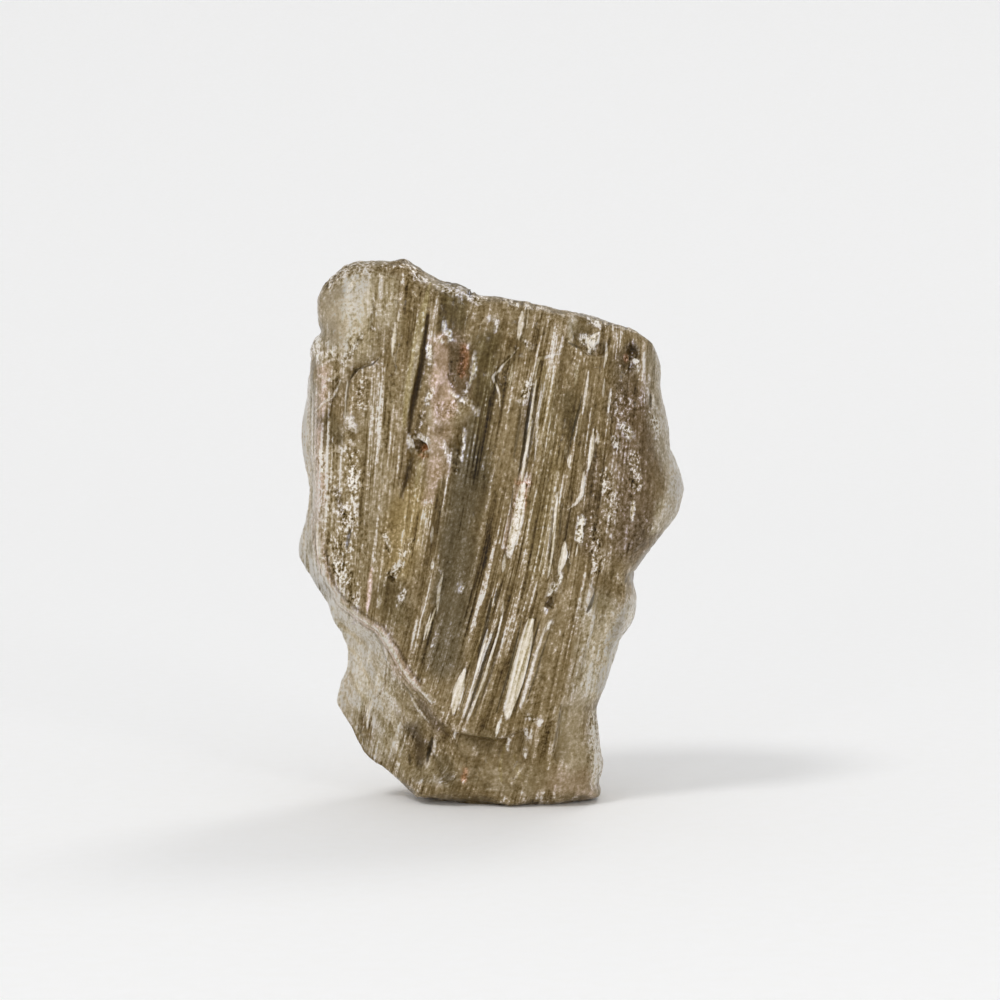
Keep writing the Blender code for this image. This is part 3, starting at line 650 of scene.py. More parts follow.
# The broken hollow in the front's upper middle, and what fills it.
FRONT_RECESS: tuple[Stroke, ...] = (
    wash(BROWN, 1.5, 0.9, (-2.3, 29.4), (-2.0, 27.6), (-2.3, 26.2), fade=0.6, fibre=-0.45, grain=0.1,
        through=-0.2),
    wash(SAND, 1.0, 0.85, (-3.4, 25.6), (-2.2, 25.4), (-1.5, 25.6), fibre=-0.5),
    wash(ROSE, 0.95, 0.95, (-3.2, 29.7), (-3.1, 28.6), (-3.2, 27.2), (-2.9, 25.8), fade=0.5, fibre=-0.5,
        grain=0.05, through=-0.2),
    wash(ROSE, 0.95, 0.38, (-2.9, 25.8), (-3.0, 24.2), (-3.4, 21.6), fade=0.6, fibre=-0.5, grain=0.05,
        through=-0.2),
    wash(ROSE, 0.6, 0.55, (-3.5, 22.4), (-3.8, 21.0), (-4.1, 19.8), fibre=-0.3),
    crumbs(BROWN, 0.3, 0.9, (-2.1, 28.4), (-2.15, 27.4)),
    wash(ROSE, 0.5, 1.0, (-3.2, 29.3), (-2.9, 28.6), (-3.15, 27.6), (-3.1, 26.4), fade=0.4, grain=-0.5,
        fibre=-0.5, height=0.06),
    crumbs(UMBER, 0.14, 0.9, (-2.35, 28.5), (-2.6, 27.6), (-2.35, 26.8), height=-0.06),
    crumbs(CHALK, 0.22, 0.7, (-1.42, 29.5), (-1.4, 29.3)),
    crumbs(RUST, 0.4, 0.9, (-1.6, 29.3), (-1.65, 28.5), (-1.75, 27.8), grain=0.3),
    crumbs(UMBER, 0.2, 1.1, (-1.75, 28.9), (-1.85, 28.4), (-1.8, 27.8)),
    crumbs(CHALK, 0.2, 0.8, (-1.0, 29.1), (-1.0, 28.2), (-1.15, 27.4), (-1.6, 26.5), grain=0.7,
        height=0.07),
    crumbs(GLINT, 0.22, 0.85, (-2.9, 30.7), (-2.5, 29.9), grain=0.6, height=0.09),
    crumbs(CHALK, 0.16, 0.7, (-3.5, 29.9), (-2.7, 29.7), height=0.06),
    crumbs(BONE, 0.24, 0.8, (-3.75, 29.4), (-3.7, 28.2), grain=0.7, height=0.08),
    crumbs(CHALK, 0.22, 0.6, (-3.7, 26.6), (-3.9, 26.0), grain=0.7, height=0.05),
    crumbs(BONE, 0.22, 0.7, (-2.5, 26.5), (-1.8, 26.1), (-1.2, 25.8), (-0.8, 25.2), height=0.06),
    crumbs(BROWN, 0.22, 0.5, (-2.9, 25.4), (-1.9, 25.2), grain=0.2),
    crumbs(UMBER, 0.35, 0.7, (-4.3, 25.2), (-4.6, 24.2), grain=0.8),
    crumbs(BONE, 0.14, 0.9, (-1.65, 24.3), (-1.7, 23.2), (-1.9, 22.2), grain=0.3, height=0.03),
    crumbs(BONE, 0.12, 0.8, (-2.85, 23.4), (-2.75, 22.6), (-2.3, 21.9), grain=0.3, height=0.03),
    crumbs(BONE, 0.12, 0.7, (-2.05, 21.9), (-2.1, 21.4)),
    crumbs(UMBER, 0.5, 0.8, (-4.35, 23.15), fade=0.4, grain=0.3),
    crumbs(RUST, 0.36, 1.7, (-4.2, 23.05), grain=0.0),
    crumbs(INK, 0.1, 0.8, (-4.62, 23.2), grain=0.0),
    crumbs(GLINT, 0.24, 0.95, (-5.05, 23.4), (-4.95, 22.95), height=0.1),
    crumbs(CHALK, 0.19, 0.8, (-4.95, 23.7), (-4.4, 23.8), (-3.9, 23.5), (-3.8, 23.0), height=0.08),
    crumbs(RUST, 0.14, 0.7, (-4.4, 22.5), (-4.0, 22.6)),
)

# The marks of the front's upper right.
FRONT_UPPER_RIGHT: tuple[Stroke, ...] = (
    streak(BONE, 0.22, 0.95, (2.05, 31.7), (1.9, 30.6), (1.75, 29.8), fibre=-0.2, height=0.05),
    streak(INK, 0.08, 0.7, (2.35, 31.9), (2.15, 30.2)),
    streak(BONE, 0.08, 0.7, (2.5, 31.9), (2.3, 30.4)),
    crumbs(CHALK, 0.2, 0.5, (-0.1, 31.2), (0.5, 31.0), (0.3, 30.4)),
    crumbs(CHALK, 0.25, 0.5, (2.0, 29.9), (2.5, 29.4), grain=0.7),
    streak(CHALK, 0.09, 0.85, (1.8, 29.4), (1.3, 28.8), (0.15, 27.5), (0.6, 26.5), (0.65, 25.4),
        height=0.05),
    streak(INK, 0.09, 0.6, (0.5, 27.4), (0.85, 26.6), (0.75, 25.4)),
    streak(BONE, 0.16, 0.7, (1.4, 28.4), (1.2, 26.8)),
    streak(BONE, 0.1, 0.8, (2.8, 27.4), (3.1, 28.7), (3.7, 28.8), (4.5, 29.0), height=0.05),
    streak(BONE, 0.08, 0.5, (4.6, 30.2), (4.4, 29.2), (3.9, 29.8)),
    crumbs(ASH, 0.4, 0.7, (2.5, 27.0), (2.0, 26.0), grain=1.0),
    streak(GLINT, 0.1, 1.0, (2.9, 27.4), (2.62, 25.4), (2.35, 23.2), (2.0, 21.0), taper=0.3, height=0.07),
    streak(INK, 0.12, 0.9, (2.7, 27.2), (2.4, 25.2), (2.1, 23.0), (1.78, 21.0), height=-0.06),
    streak(INK, 0.08, 0.7, (3.1, 27.2), (2.8, 25.2), (2.5, 23.0), (2.2, 21.2), height=-0.04),
    streak(BONE, 0.09, 0.8, (3.25, 27.2), (2.95, 24.6), (2.8, 22.2), height=0.04),
    streak(INK, 0.16, 0.5, (1.9, 25.4), (1.5, 22.4)),
    # Painted highlight: the white crumbs and glint streaks here are a lamp glint on small raised facets.
    crumbs(CHALK, 0.42, 0.9, (5.9, 29.9), (6.5, 29.7), (6.3, 29.3), grain=0.9, height=0.08),
    streak(GLINT, 0.1, 1.0, (6.1, 30.0), (6.2, 29.2), height=0.08),
    streak(GLINT, 0.1, 1.0, (6.5, 29.9), (6.5, 29.2), height=0.08),
    streak(GLINT, 0.12, 1.0, (6.9, 30.3), (6.3, 29.9), height=0.08),
    crumbs(BONE, 0.3, 0.6, (6.3, 31.0), (6.9, 30.7), grain=0.7),
    wash(ASH, 0.42, 0.8, (5.3, 30.9), (5.2, 30.2), fade=0.5, fibre=-0.3),
    streak(INK, 0.1, 0.8, (4.9, 29.7), (5.6, 29.3)),
    streak(CHALK, 0.09, 0.8, (7.35, 29.6), (7.3, 28.8), (7.15, 28.1)),
    streak(INK, 0.08, 0.6, (7.15, 29.8), (7.1, 28.6)),
    streak(BONE, 0.12, 0.85, (6.2, 27.9), (6.0, 26.4), (5.8, 25.1), height=0.04),
    streak(ASH, 0.18, 0.7, (5.5, 28.4), (5.4, 27.0)),
    streak(INK, 0.1, 0.8, (5.8, 26.4), (5.3, 24.4), (4.9, 22.6), height=-0.05),
    streak(BONE, 0.1, 0.7, (4.9, 23.6), (4.7, 22.4)),
    streak(CHALK, 0.13, 0.85, (5.05, 22.7), (4.95, 21.8)),
    streak(CHALK, 0.15, 0.9, (6.5, 24.2), (6.4, 23.0), (6.2, 21.7), height=0.05),
    streak(GLINT, 0.1, 0.8, (6.8, 24.0), (6.75, 23.2)),
    streak(CHALK, 0.13, 0.9, (5.9, 21.6), (5.75, 20.2), (5.4, 19.6), (4.9, 19.2), height=0.05),
    streak(BONE, 0.09, 0.7, (7.6, 26.8), (7.4, 25.2)),
    streak(BONE, 0.09, 0.6, (7.2, 27.4), (7.1, 26.2)),
    crumbs(UMBER, 0.55, 1.3, (8.9, 29.4), (9.0, 29.0), grain=0.5),
    crumbs(INK, 0.2, 1.0, (8.95, 29.2)),
    crumbs(UMBER, 0.34, 1.2, (8.85, 28.1), grain=0.5),
    crumbs(RUST, 0.2, 0.6, (8.5, 28.8), (8.6, 28.5)),
    crumbs(BONE, 0.22, 0.7, (9.2, 28.6), (9.3, 27.8), grain=0.8),
    streak(INK, 0.1, 0.8, (10.15, 26.5), (10.15, 25.5), height=-0.08),
    streak(CHALK, 0.1, 0.7, (10.3, 26.4), (10.3, 25.5)),
    crumbs(CHALK, 0.35, 0.6, (8.4, 24.4), (8.8, 23.8), grain=1.0),
    crumbs(CHALK, 0.3, 0.5, (7.8, 23.6), (8.0, 23.2), grain=1.0),
    crumbs(BONE, 0.3, 0.6, (10.4, 24.8), (10.6, 24.0), grain=0.8),
    crumbs(SAND, 0.5, 0.6, (9.0, 22.6), (9.2, 20.6), grain=0.6),
    crumbs(SAND, 0.6, 0.5, (7.4, 21.4), (7.6, 18.4), grain=0.6),
    streak(BONE, 0.22, 0.85, (9.0, 19.8), (8.9, 18.5), fade=0.6),
    wash(BONE, 0.5, 0.6, (11.9, 21.0), (11.8, 20.0), fade=0.5),
)

# The marks of the front's lower half.
FRONT_LOWER: tuple[Stroke, ...] = (
    crumbs(SAND, 0.45, 0.7, (-5.0, 17.2), (-5.4, 16.4), grain=0.8),
    crumbs(ASH, 0.35, 0.7, (-5.6, 15.6), (-6.3, 15.1), grain=0.9),
    crumbs(ASH, 0.3, 0.5, (-6.6, 17.6), (-6.4, 16.6), grain=0.8),
    crumbs(INK, 0.17, 1.0, (-6.2, 14.75)),
    crumbs(ASH, 0.3, 0.6, (-5.4, 13.9), (-5.7, 13.2), grain=0.8),
    streak(ROSE, 0.22, 0.95, (-7.5, 15.4), (-7.6, 14.2), (-7.8, 12.7), taper=0.6, fibre=-0.3, height=0.04),
    streak(ASH, 0.13, 0.7, (-7.0, 13.8), (-7.1, 12.8)),
    streak(CHALK, 0.14, 0.7, (-3.6, 16.0), (-3.7, 15.4)),
    streak(BONE, 0.15, 0.9, (-2.95, 15.2), (-3.2, 14.0), (-3.35, 12.6), height=0.05),
    streak(CHALK, 0.11, 0.95, (-3.35, 13.1), (-3.72, 12.0), (-4.0, 11.0), height=0.06),
    streak(GLINT, 0.08, 0.85, (-3.7, 12.6), (-4.0, 11.6), (-4.2, 10.9)),
    crumbs(CHALK, 0.18, 0.7, (-1.7, 14.4), (-1.8, 14.0)),
    streak(BONE, 0.12, 0.6, (-3.6, 18.2), (-3.7, 17.0)),
    streak(CHALK, 0.34, 0.95, (-1.6, 9.0), (-2.05, 7.6), (-2.4, 6.1), height=0.06),
    wash(ASH, 0.5, 0.7, (2.5, 12.0), (1.75, 9.2), (0.95, 6.2), fade=0.7, fibre=0.2, taper=0.5, height=0.08),
    streak(CHALK, 0.54, 1.0, (2.62, 12.3), (1.85, 9.1), (1.05, 5.9), taper=0.6, through=-0.3),
    streak(INK, 0.07, 0.9, (3.1, 12.2), (2.36, 9.2), (1.55, 6.2), taper=0.4, height=-0.06),
    streak(BONE, 0.1, 0.85, (3.45, 11.8), (2.7, 9.2), (1.9, 6.6), taper=0.2, height=0.05),
    streak(INK, 0.09, 0.7, (3.7, 11.4), (3.0, 9.0), (2.3, 7.0), height=-0.04),
    streak(INK, 0.09, 0.8, (2.0, 12.2), (1.2, 9.0), (0.4, 6.2), height=-0.05),
    streak(CHALK, 0.1, 0.9, (0.55, 5.7), (0.35, 4.6)),
    streak(CHALK, 0.12, 0.9, (-0.15, 11.6), (-0.5, 10.2), (-0.9, 8.6), height=0.05),
    streak(CHALK, 0.1, 0.95, (0.6, 11.6), (-0.4, 8.4), (-1.5, 5.6), height=0.06),
    streak(BONE, 0.1, 0.85, (0.85, 13.4), (0.5, 11.4)),
    streak(INK, 0.12, 0.85, (0.3, 11.6), (-0.7, 8.4), (-1.7, 5.6), height=-0.07),
    streak(UMBER, 0.11, 0.8, (0.85, 11.4), (-0.1, 8.4), (-1.2, 5.6), height=-0.05),
    streak(BONE, 0.09, 0.8, (-0.6, 9.8), (-1.2, 7.6), (-1.75, 5.8)),
    streak(INK, 0.16, 0.8, (0.1, 13.6), (-0.3, 11.6), (-0.8, 9.6), height=-0.06),
    streak(INK, 0.12, 0.8, (0.5, 14.2), (0.3, 13.2)),
    streak(SAND, 0.2, 0.7, (-0.4, 12.6), (-0.9, 10.4), (-1.4, 9.0)),
    wash(ROSE, 0.42, 0.6, (2.1, 20.9), (1.85, 19.2), (1.3, 16.6), fade=0.6, grain=0.3, height=0.07),
    streak(CHALK, 0.4, 0.78, (2.1, 20.85), (1.75, 18.6), (1.15, 16.2), taper=0.6, grain=0.45),
    streak(INK, 0.05, 0.8, (1.75, 19.75), (2.15, 19.7)),
    crumbs(BROWN, 0.18, 1.4, (2.0, 20.75), (2.3, 20.8)),
    crumbs(RUST, 0.14, 0.9, (1.7, 20.9), (2.5, 20.9)),
    streak(RUST, 0.1, 0.5, (2.3, 20.8), (2.1, 18.6)),
    streak(INK, 0.08, 0.6, (1.45, 20.6), (1.25, 18.2), (0.75, 15.6)),
    streak(BONE, 0.12, 0.8, (0.95, 16.4), (0.8, 15.2)),
    streak(CHALK, 0.09, 0.95, (4.2, 20.2), (4.05, 18.2), (3.85, 16.2), (3.65, 14.9), taper=0.3,
        height=0.05),
    streak(INK, 0.09, 0.6, (4.0, 19.4), (3.6, 15.2)),
    streak(INK, 0.08, 0.6, (4.5, 19.4), (4.3, 17.4)),
    streak(BONE, 0.05, 0.3, (2.6, 17.9), (3.3, 18.1), (3.9, 18.0)),
    # Painted highlight: these white crumbs and glint streaks are lamp glints on small raised facets.
    crumbs(CHALK, 0.28, 0.95, (5.8, 18.7), (5.65, 18.0), (5.6, 17.2), grain=1.0, height=0.07),
    streak(GLINT, 0.09, 1.0, (5.8, 18.8), (5.75, 17.6)),
    streak(CHALK, 0.08, 0.9, (5.5, 17.0), (5.35, 16.2)),
    streak(GLINT, 0.26, 1.0, (4.65, 17.2), (4.6, 16.2), (4.3, 15.1), height=0.07),
    crumbs(CHALK, 0.26, 0.85, (4.5, 15.0), (4.1, 14.3), (3.8, 14.0), grain=1.0, height=0.06),
    crumbs(UMBER, 0.3, 0.9, (3.8, 13.6), (3.65, 12.9)),
    crumbs(CHALK, 0.12, 0.9, (3.4, 12.9), (3.55, 12.7)),
    crumbs(CHALK, 0.18, 0.9, (3.75, 12.0), (3.6, 11.7), height=0.05),
    streak(INK, 0.14, 0.6, (4.9, 16.6), (4.9, 15.2)),
    crumbs(SAND, 0.55, 0.5, (6.6, 17.6), (6.8, 15.4), grain=1.0),
    streak(INK, 0.16, 0.9, (6.6, 13.9), (6.4, 13.2), (6.1, 12.6), height=-0.1),
    streak(BONE, 0.2, 0.6, (7.6, 12.6), (7.2, 10.4), fade=0.7),
    streak(BONE, 0.22, 0.5, (6.6, 11.6), (6.5, 9.4), fade=0.7),
    streak(OLIVE, 0.14, 0.6, (7.3, 13.0), (6.9, 11.4), fade=0.7),
    streak(OLIVE, 0.18, 0.5, (6.0, 10.4), (5.7, 8.0), fade=0.7),
    crumbs(CHALK, 0.35, 0.6, (9.0, 12.4), (8.5, 11.4), grain=0.0),
    streak(UMBER, 0.11, 0.8, (4.5, 6.8), (4.3, 5.2), (4.0, 3.5), height=-0.05),
    streak(BONE, 0.14, 0.4, (4.75, 6.4), (4.5, 4.6), fade=0.7),
    crumbs(BONE, 0.28, 0.7, (2.4, 6.0), (3.2, 5.6), grain=0.8),
    crumbs(CHALK, 0.13, 0.7, (2.3, 5.0), (2.25, 4.4)),
    crumbs(CHALK, 0.16, 0.8, (2.3, 3.8), (2.2, 3.3)),
    crumbs(CHALK, 0.11, 0.8, (1.15, 4.4), (1.1, 3.7)),
    streak(KHAKI, 0.12, 0.8, (0.9, 4.0), (0.6, 2.6), (0.7, 1.6)),
    streak(KHAKI, 0.1, 0.7, (1.5, 3.4), (1.9, 1.8)),
    crumbs(RUST, 0.2, 0.9, (-1.6, 2.4), (-1.7, 1.7)),
    streak(UMBER, 0.08, 0.8, (-1.5, 3.3), (-1.55, 2.6)),
    streak(BONE, 0.1, 0.8, (-2.2, 5.2), (-2.3, 4.4)),
    streak(INK, 0.17, 0.95, (-3.75, 4.4), (-3.95, 3.4), (-4.05, 2.7), height=-0.15),
    streak(BONE, 0.09, 0.8, (-3.55, 4.3), (-3.6, 3.2), height=0.06),
    crumbs(CHALK, 0.16, 0.8, (-6.0, 2.5), (-6.1, 2.1)),
    crumbs(BROWN, 0.24, 0.8, (-8.7, 11.75), grain=0.0),
    crumbs(GLINT, 0.14, 0.9, (-8.5, 13.0)),
    crumbs(GLINT, 0.14, 0.9, (-4.45, 8.35)),
    crumbs(CHALK, 0.14, 0.9, (-5.65, 7.5)),
)

# Wisps and folds of the hollow at the lower left, and of the thin flange above it.
FRONT_HOLLOW: tuple[Stroke, ...] = (
    streak(UMBER, 0.13, 0.6, (-7.4, 11.2), (-6.9, 10.4), (-6.6, 9.4), height=-0.07),
    streak(BONE, 0.12, 0.7, (-6.9, 10.6), (-6.5, 9.6), height=0.06),
    streak(CHALK, 0.16, 0.6, (-7.6, 10.6), (-7.8, 9.0), fade=0.7, height=0.05),
    crumbs(CHALK, 0.14, 0.9, (-7.8, 9.3)),
    streak(OLIVE, 0.1, 0.7, (-6.6, 9.4), (-6.8, 7.4), (-7.7, 6.4), height=-0.05),
    streak(CHALK, 0.12, 0.8, (-7.6, 6.8), (-7.9, 5.6), (-8.0, 4.6), height=0.06),
    streak(BONE, 0.3, 0.5, (-7.1, 8.6), (-7.3, 7.0), fade=0.8),
    streak(OLIVE, 0.12, 0.4, (-8.3, 10.8), (-8.4, 8.4), fade=0.8),
    streak(BONE, 0.16, 0.6, (-6.2, 6.6), (-6.3, 5.0), fade=0.7),
    streak(OLIVE, 0.16, 0.7, (-5.6, 6.4), (-5.5, 4.8), fade=0.7),
    streak(BONE, 0.11, 0.7, (-5.1, 7.2), (-4.6, 6.2), (-3.9, 5.4), height=0.05),
    streak(UMBER, 0.11, 0.6, (-5.6, 8.0), (-4.9, 7.0), height=-0.05),
    streak(MOSS, 0.16, 0.6, (-8.6, 4.9), (-8.2, 3.8), fade=0.7),
    streak(UMBER, 0.14, 0.6, (-8.7, 3.9), (-7.6, 2.6), (-7.0, 2.0)),
    streak(SAND, 0.2, 0.7, (-6.9, 4.4), (-6.6, 3.0), fade=0.7),
    streak(BONE, 0.18, 0.6, (-6.1, 4.0), (-5.9, 2.9), fade=0.7),
    streak(UMBER, 0.14, 0.7, (-5.3, 3.2), (-5.2, 2.4), fade=0.6),
    streak(OLIVE, 0.09, 0.6, (-11.7, 27.0), (-11.7, 25.4), (-11.5, 23.6)),
    streak(CHALK, 0.1, 0.7, (-11.3, 26.4), (-11.3, 23.0), (-11.1, 19.6), height=0.05),
    streak(OLIVE, 0.1, 0.5, (-11.6, 22.8), (-11.3, 20.4)),
    streak(OLIVE, 0.09, 0.7, (-11.4, 19.0), (-11.3, 17.2), (-11.5, 15.8), height=-0.04),
    streak(CHALK, 0.1, 0.8, (-11.1, 18.6), (-10.95, 16.4), (-10.6, 14.8), height=0.06),
    streak(OLIVE, 0.1, 0.4, (-12.0, 17.6), (-11.9, 16.2)),
)

# The pale crest of the ridge and the dark line inside it.
FRONT_RIDGE: tuple[Stroke, ...] = (
    wash(ROSE, 0.6, 0.7, *RIDGE[:-4], fade=0.9, fibre=-0.2),
    crest_line(BONE, 0.14, 0.45, RIDGE[4:-3], 0.0, 0.0, fade=0.7, height=0.05),
    crest_line(UMBER, 0.12, 0.55, RIDGE[5:13], 0.32, 0.22, fade=0.6, height=-0.05),
    crest_line(OLIVE, 0.09, 0.6, RIDGE[6:14], -0.2, -0.34, fade=0.6, height=-0.04),
)

FRONT_STROKES = (FRONT_WASHES + FRONT_RIDGE + FRONT_UPPER_LEFT + FRONT_RECESS + FRONT_UPPER_RIGHT
                 + FRONT_LOWER + FRONT_HOLLOW)

# All marks of the back.
BACK_STROKES: tuple[Stroke, ...] = (
    wash(ASH, 3.0, 0.8, (-8.4, 33.0), (-8.8, 29.6), through=0.2, fibre=-0.3),
    wash(BONE, 1.6, 0.8, (-11.4, 26.0), (-11.6, 16.0), through=0.3, fibre=-0.2),
    wash(SAND, 1.6, 0.7, (-8.6, 24.0), (-8.2, 14.0)),
    wash(KHAKI, 1.2, 0.9, (-4.0, 32.0), (-5.0, 26.0), (-5.8, 18.0)),
    wash(UMBER, 2.2, 0.75, (-1.0, 29.0), (-2.0, 19.0), (-3.2, 9.0), fibre=0.3),
    wash(SAND, 1.2, 0.6, (3.6, 29.0), (2.6, 19.0), (1.4, 9.0), fibre=0.2),
    wash(HONEY, 1.2, 0.7, (4.6, 24.0), (4.0, 14.0)),
    wash(BROWN, 2.4, 0.8, (8.6, 28.0), (9.4, 22.0), (9.0, 17.0), grain=0.5, fibre=-0.2),
    wash(ASH, 1.6, 0.8, (7.4, 12.0), (6.6, 7.0), through=0.2, fibre=-0.3),
    wash(MOSS, 2.4, 0.7, (1.6, 8.0), (3.0, 3.0), through=0.1, fibre=-0.3),
    wash(ASH, 2.4, 0.8, (-8.6, 11.0), (-8.4, 5.0), through=0.2, fibre=-0.3),
    wash(ROSE, 1.1, 0.75, (-2.0, 26.0), (-1.0, 23.5), (0.6, 22.6), grain=0.5, fibre=-0.4),
    crumbs(ASH, 0.8, 0.5, (-6.8, 23.4), (-6.9, 16.0), grain=1.0),
    crumbs(SAND, 0.8, 0.5, (8.4, 25.0), (8.8, 19.0), grain=1.0),
    crumbs(INK, 0.6, 0.7, (-1.0, 28.0), grain=0.8),
    crumbs(CHALK, 0.24, 0.8, (-1.9, 27.4), (-1.6, 26.6), grain=0.6, height=0.07),
    crumbs(RUST, 0.5, 0.7, (6.9, 16.2), grain=0.6),
    streak(CHALK, 0.34, 0.95, (2.6, 15.2), (1.9, 12.0), (1.2, 8.6), fade=0.2, fibre=-0.2, height=0.08),
    streak(INK, 0.09, 0.8, (3.0, 15.0), (2.3, 11.8), (1.6, 8.8), height=-0.06),
    streak(BONE, 0.22, 0.9, (5.8, 27.0), (5.5, 22.6), height=0.06),
    streak(INK, 0.1, 0.7, (5.4, 26.6), (5.1, 22.6), height=-0.05),
    streak(CHALK, 0.16, 0.85, (-3.4, 21.0), (-4.2, 13.6), height=0.05),
    streak(BONE, 0.1, 0.85, (-0.2, 20.0), (-1.4, 12.0), height=0.05),
    streak(INK, 0.1, 0.8, (0.0, 19.6), (-1.2, 12.0), height=-0.05),
    streak(CHALK, 0.2, 0.8, (0.6, 31.0), (0.2, 28.2)),
    streak(BONE, 0.12, 0.8, (-5.4, 31.0), (-6.0, 27.0)),
    streak(GLINT, 0.1, 0.9, (2.4, 26.0), (1.8, 21.4), height=0.05),
    streak(CHALK, 0.14, 0.6, (-7.6, 11.0), (-8.0, 6.0)),
)

# Steps that stand sharper in the skin than in the solid.
FRONT_LEDGES: tuple[Ledge, ...] = (
    Ledge(((-9.2, 23.9), (-9.1, 25.1), (-9.0, 26.3), (-8.8, 27.1), (-8.4, 27.8), (-7.8, 28.2),
          (-6.9, 28.8)), 0.30, lip=0.08),
    Ledge(((-10.65, 29.8), (-10.0, 29.0), (-9.4, 28.5), (-8.65, 28.0), (-7.9, 28.2)), -0.18),
    Ledge(((-2.6, 4.9), (-1.9, 4.9), (-0.9, 4.7), (0.4, 4.4), (1.4, 4.8), (2.3, 5.3)), -0.20),
    Ledge(((3.9, 2.9), (4.2, 4.2), (4.35, 5.6), (4.5, 6.9)), -0.16),
    Ledge(((5.6, 9.0), (6.1, 10.4), (6.6, 12.0), (6.5, 13.8), (5.9, 15.4)), -0.16),
    Ledge(((1.8, 29.2), (1.0, 28.6), (0.2, 27.6), (0.4, 26.8)), 0.14),
    Ledge(((7.6, 29.7), (7.1, 28.8), (6.0, 28.9), (5.3, 29.6), (4.9, 31.0)), -0.16),
    Ledge(((2.6, 27.6), (2.2, 24.2), (1.8, 21.0)), 0.12, lip=0.05),
    Ledge(((6.4, 27.0), (5.9, 24.4), (5.7, 22.0)), 0.10),
    Ledge(((-6.0, 31.6), (-6.5, 27.6), (-6.7, 23.4)), -0.08),
)

BACK_LEDGES: tuple[Ledge, ...] = (
    Ledge(((-2.6, 18.6), (-0.6, 17.6), (1.6, 17.4), (3.8, 18.2), (5.6, 19.8), (6.4, 21.6)), 0.30),
    Ledge(((-7.6, 9.0), (-6.4, 11.6), (-5.6, 14.2), (-5.4, 17.0)), -0.24),
    Ledge(((5.8, 6.0), (4.8, 6.9), (3.5, 7.0), (2.2, 6.0)), 0.20),
    Ledge(((0.6, 30.6), (0.2, 26.6), (-0.6, 22.6)), 0.14),
    Ledge(((-3.0, 16.0), (-3.8, 11.0), (-4.8, 7.0)), -0.16),
    Ledge(((7.4, 27.6), (7.2, 23.4), (6.9, 19.0)), 0.14),
)

FRONT_PITS: tuple[Pit, ...] = (
    Pit(-4.3, 23.15, 0.46, 0.16, 0.12),
    Pit(3.75, 13.2, 0.34, 0.18, 0.08),
    Pit(-6.2, 14.75, 0.2, 0.25),
    Pit(-4.5, 8.3, 0.18, 0.20),
    Pit(-8.45, 12.95, 0.18, 0.18),
    Pit(8.95, 29.2, 0.34, 0.14),
    Pit(8.9, 28.1, 0.26, 0.20),
    Pit(-3.9, 3.4, 0.24, 0.20),
    Pit(-1.25, 32.75, 0.22, 0.18),
)

BACK_PITS: tuple[Pit, ...] = (
    Pit(-1.0, 28.0, 0.5, 0.35, 0.10),
    Pit(6.9, 16.2, 0.4, 0.30, 0.10),
    Pit(-6.8, 20.0, 0.3, 0.22),
)


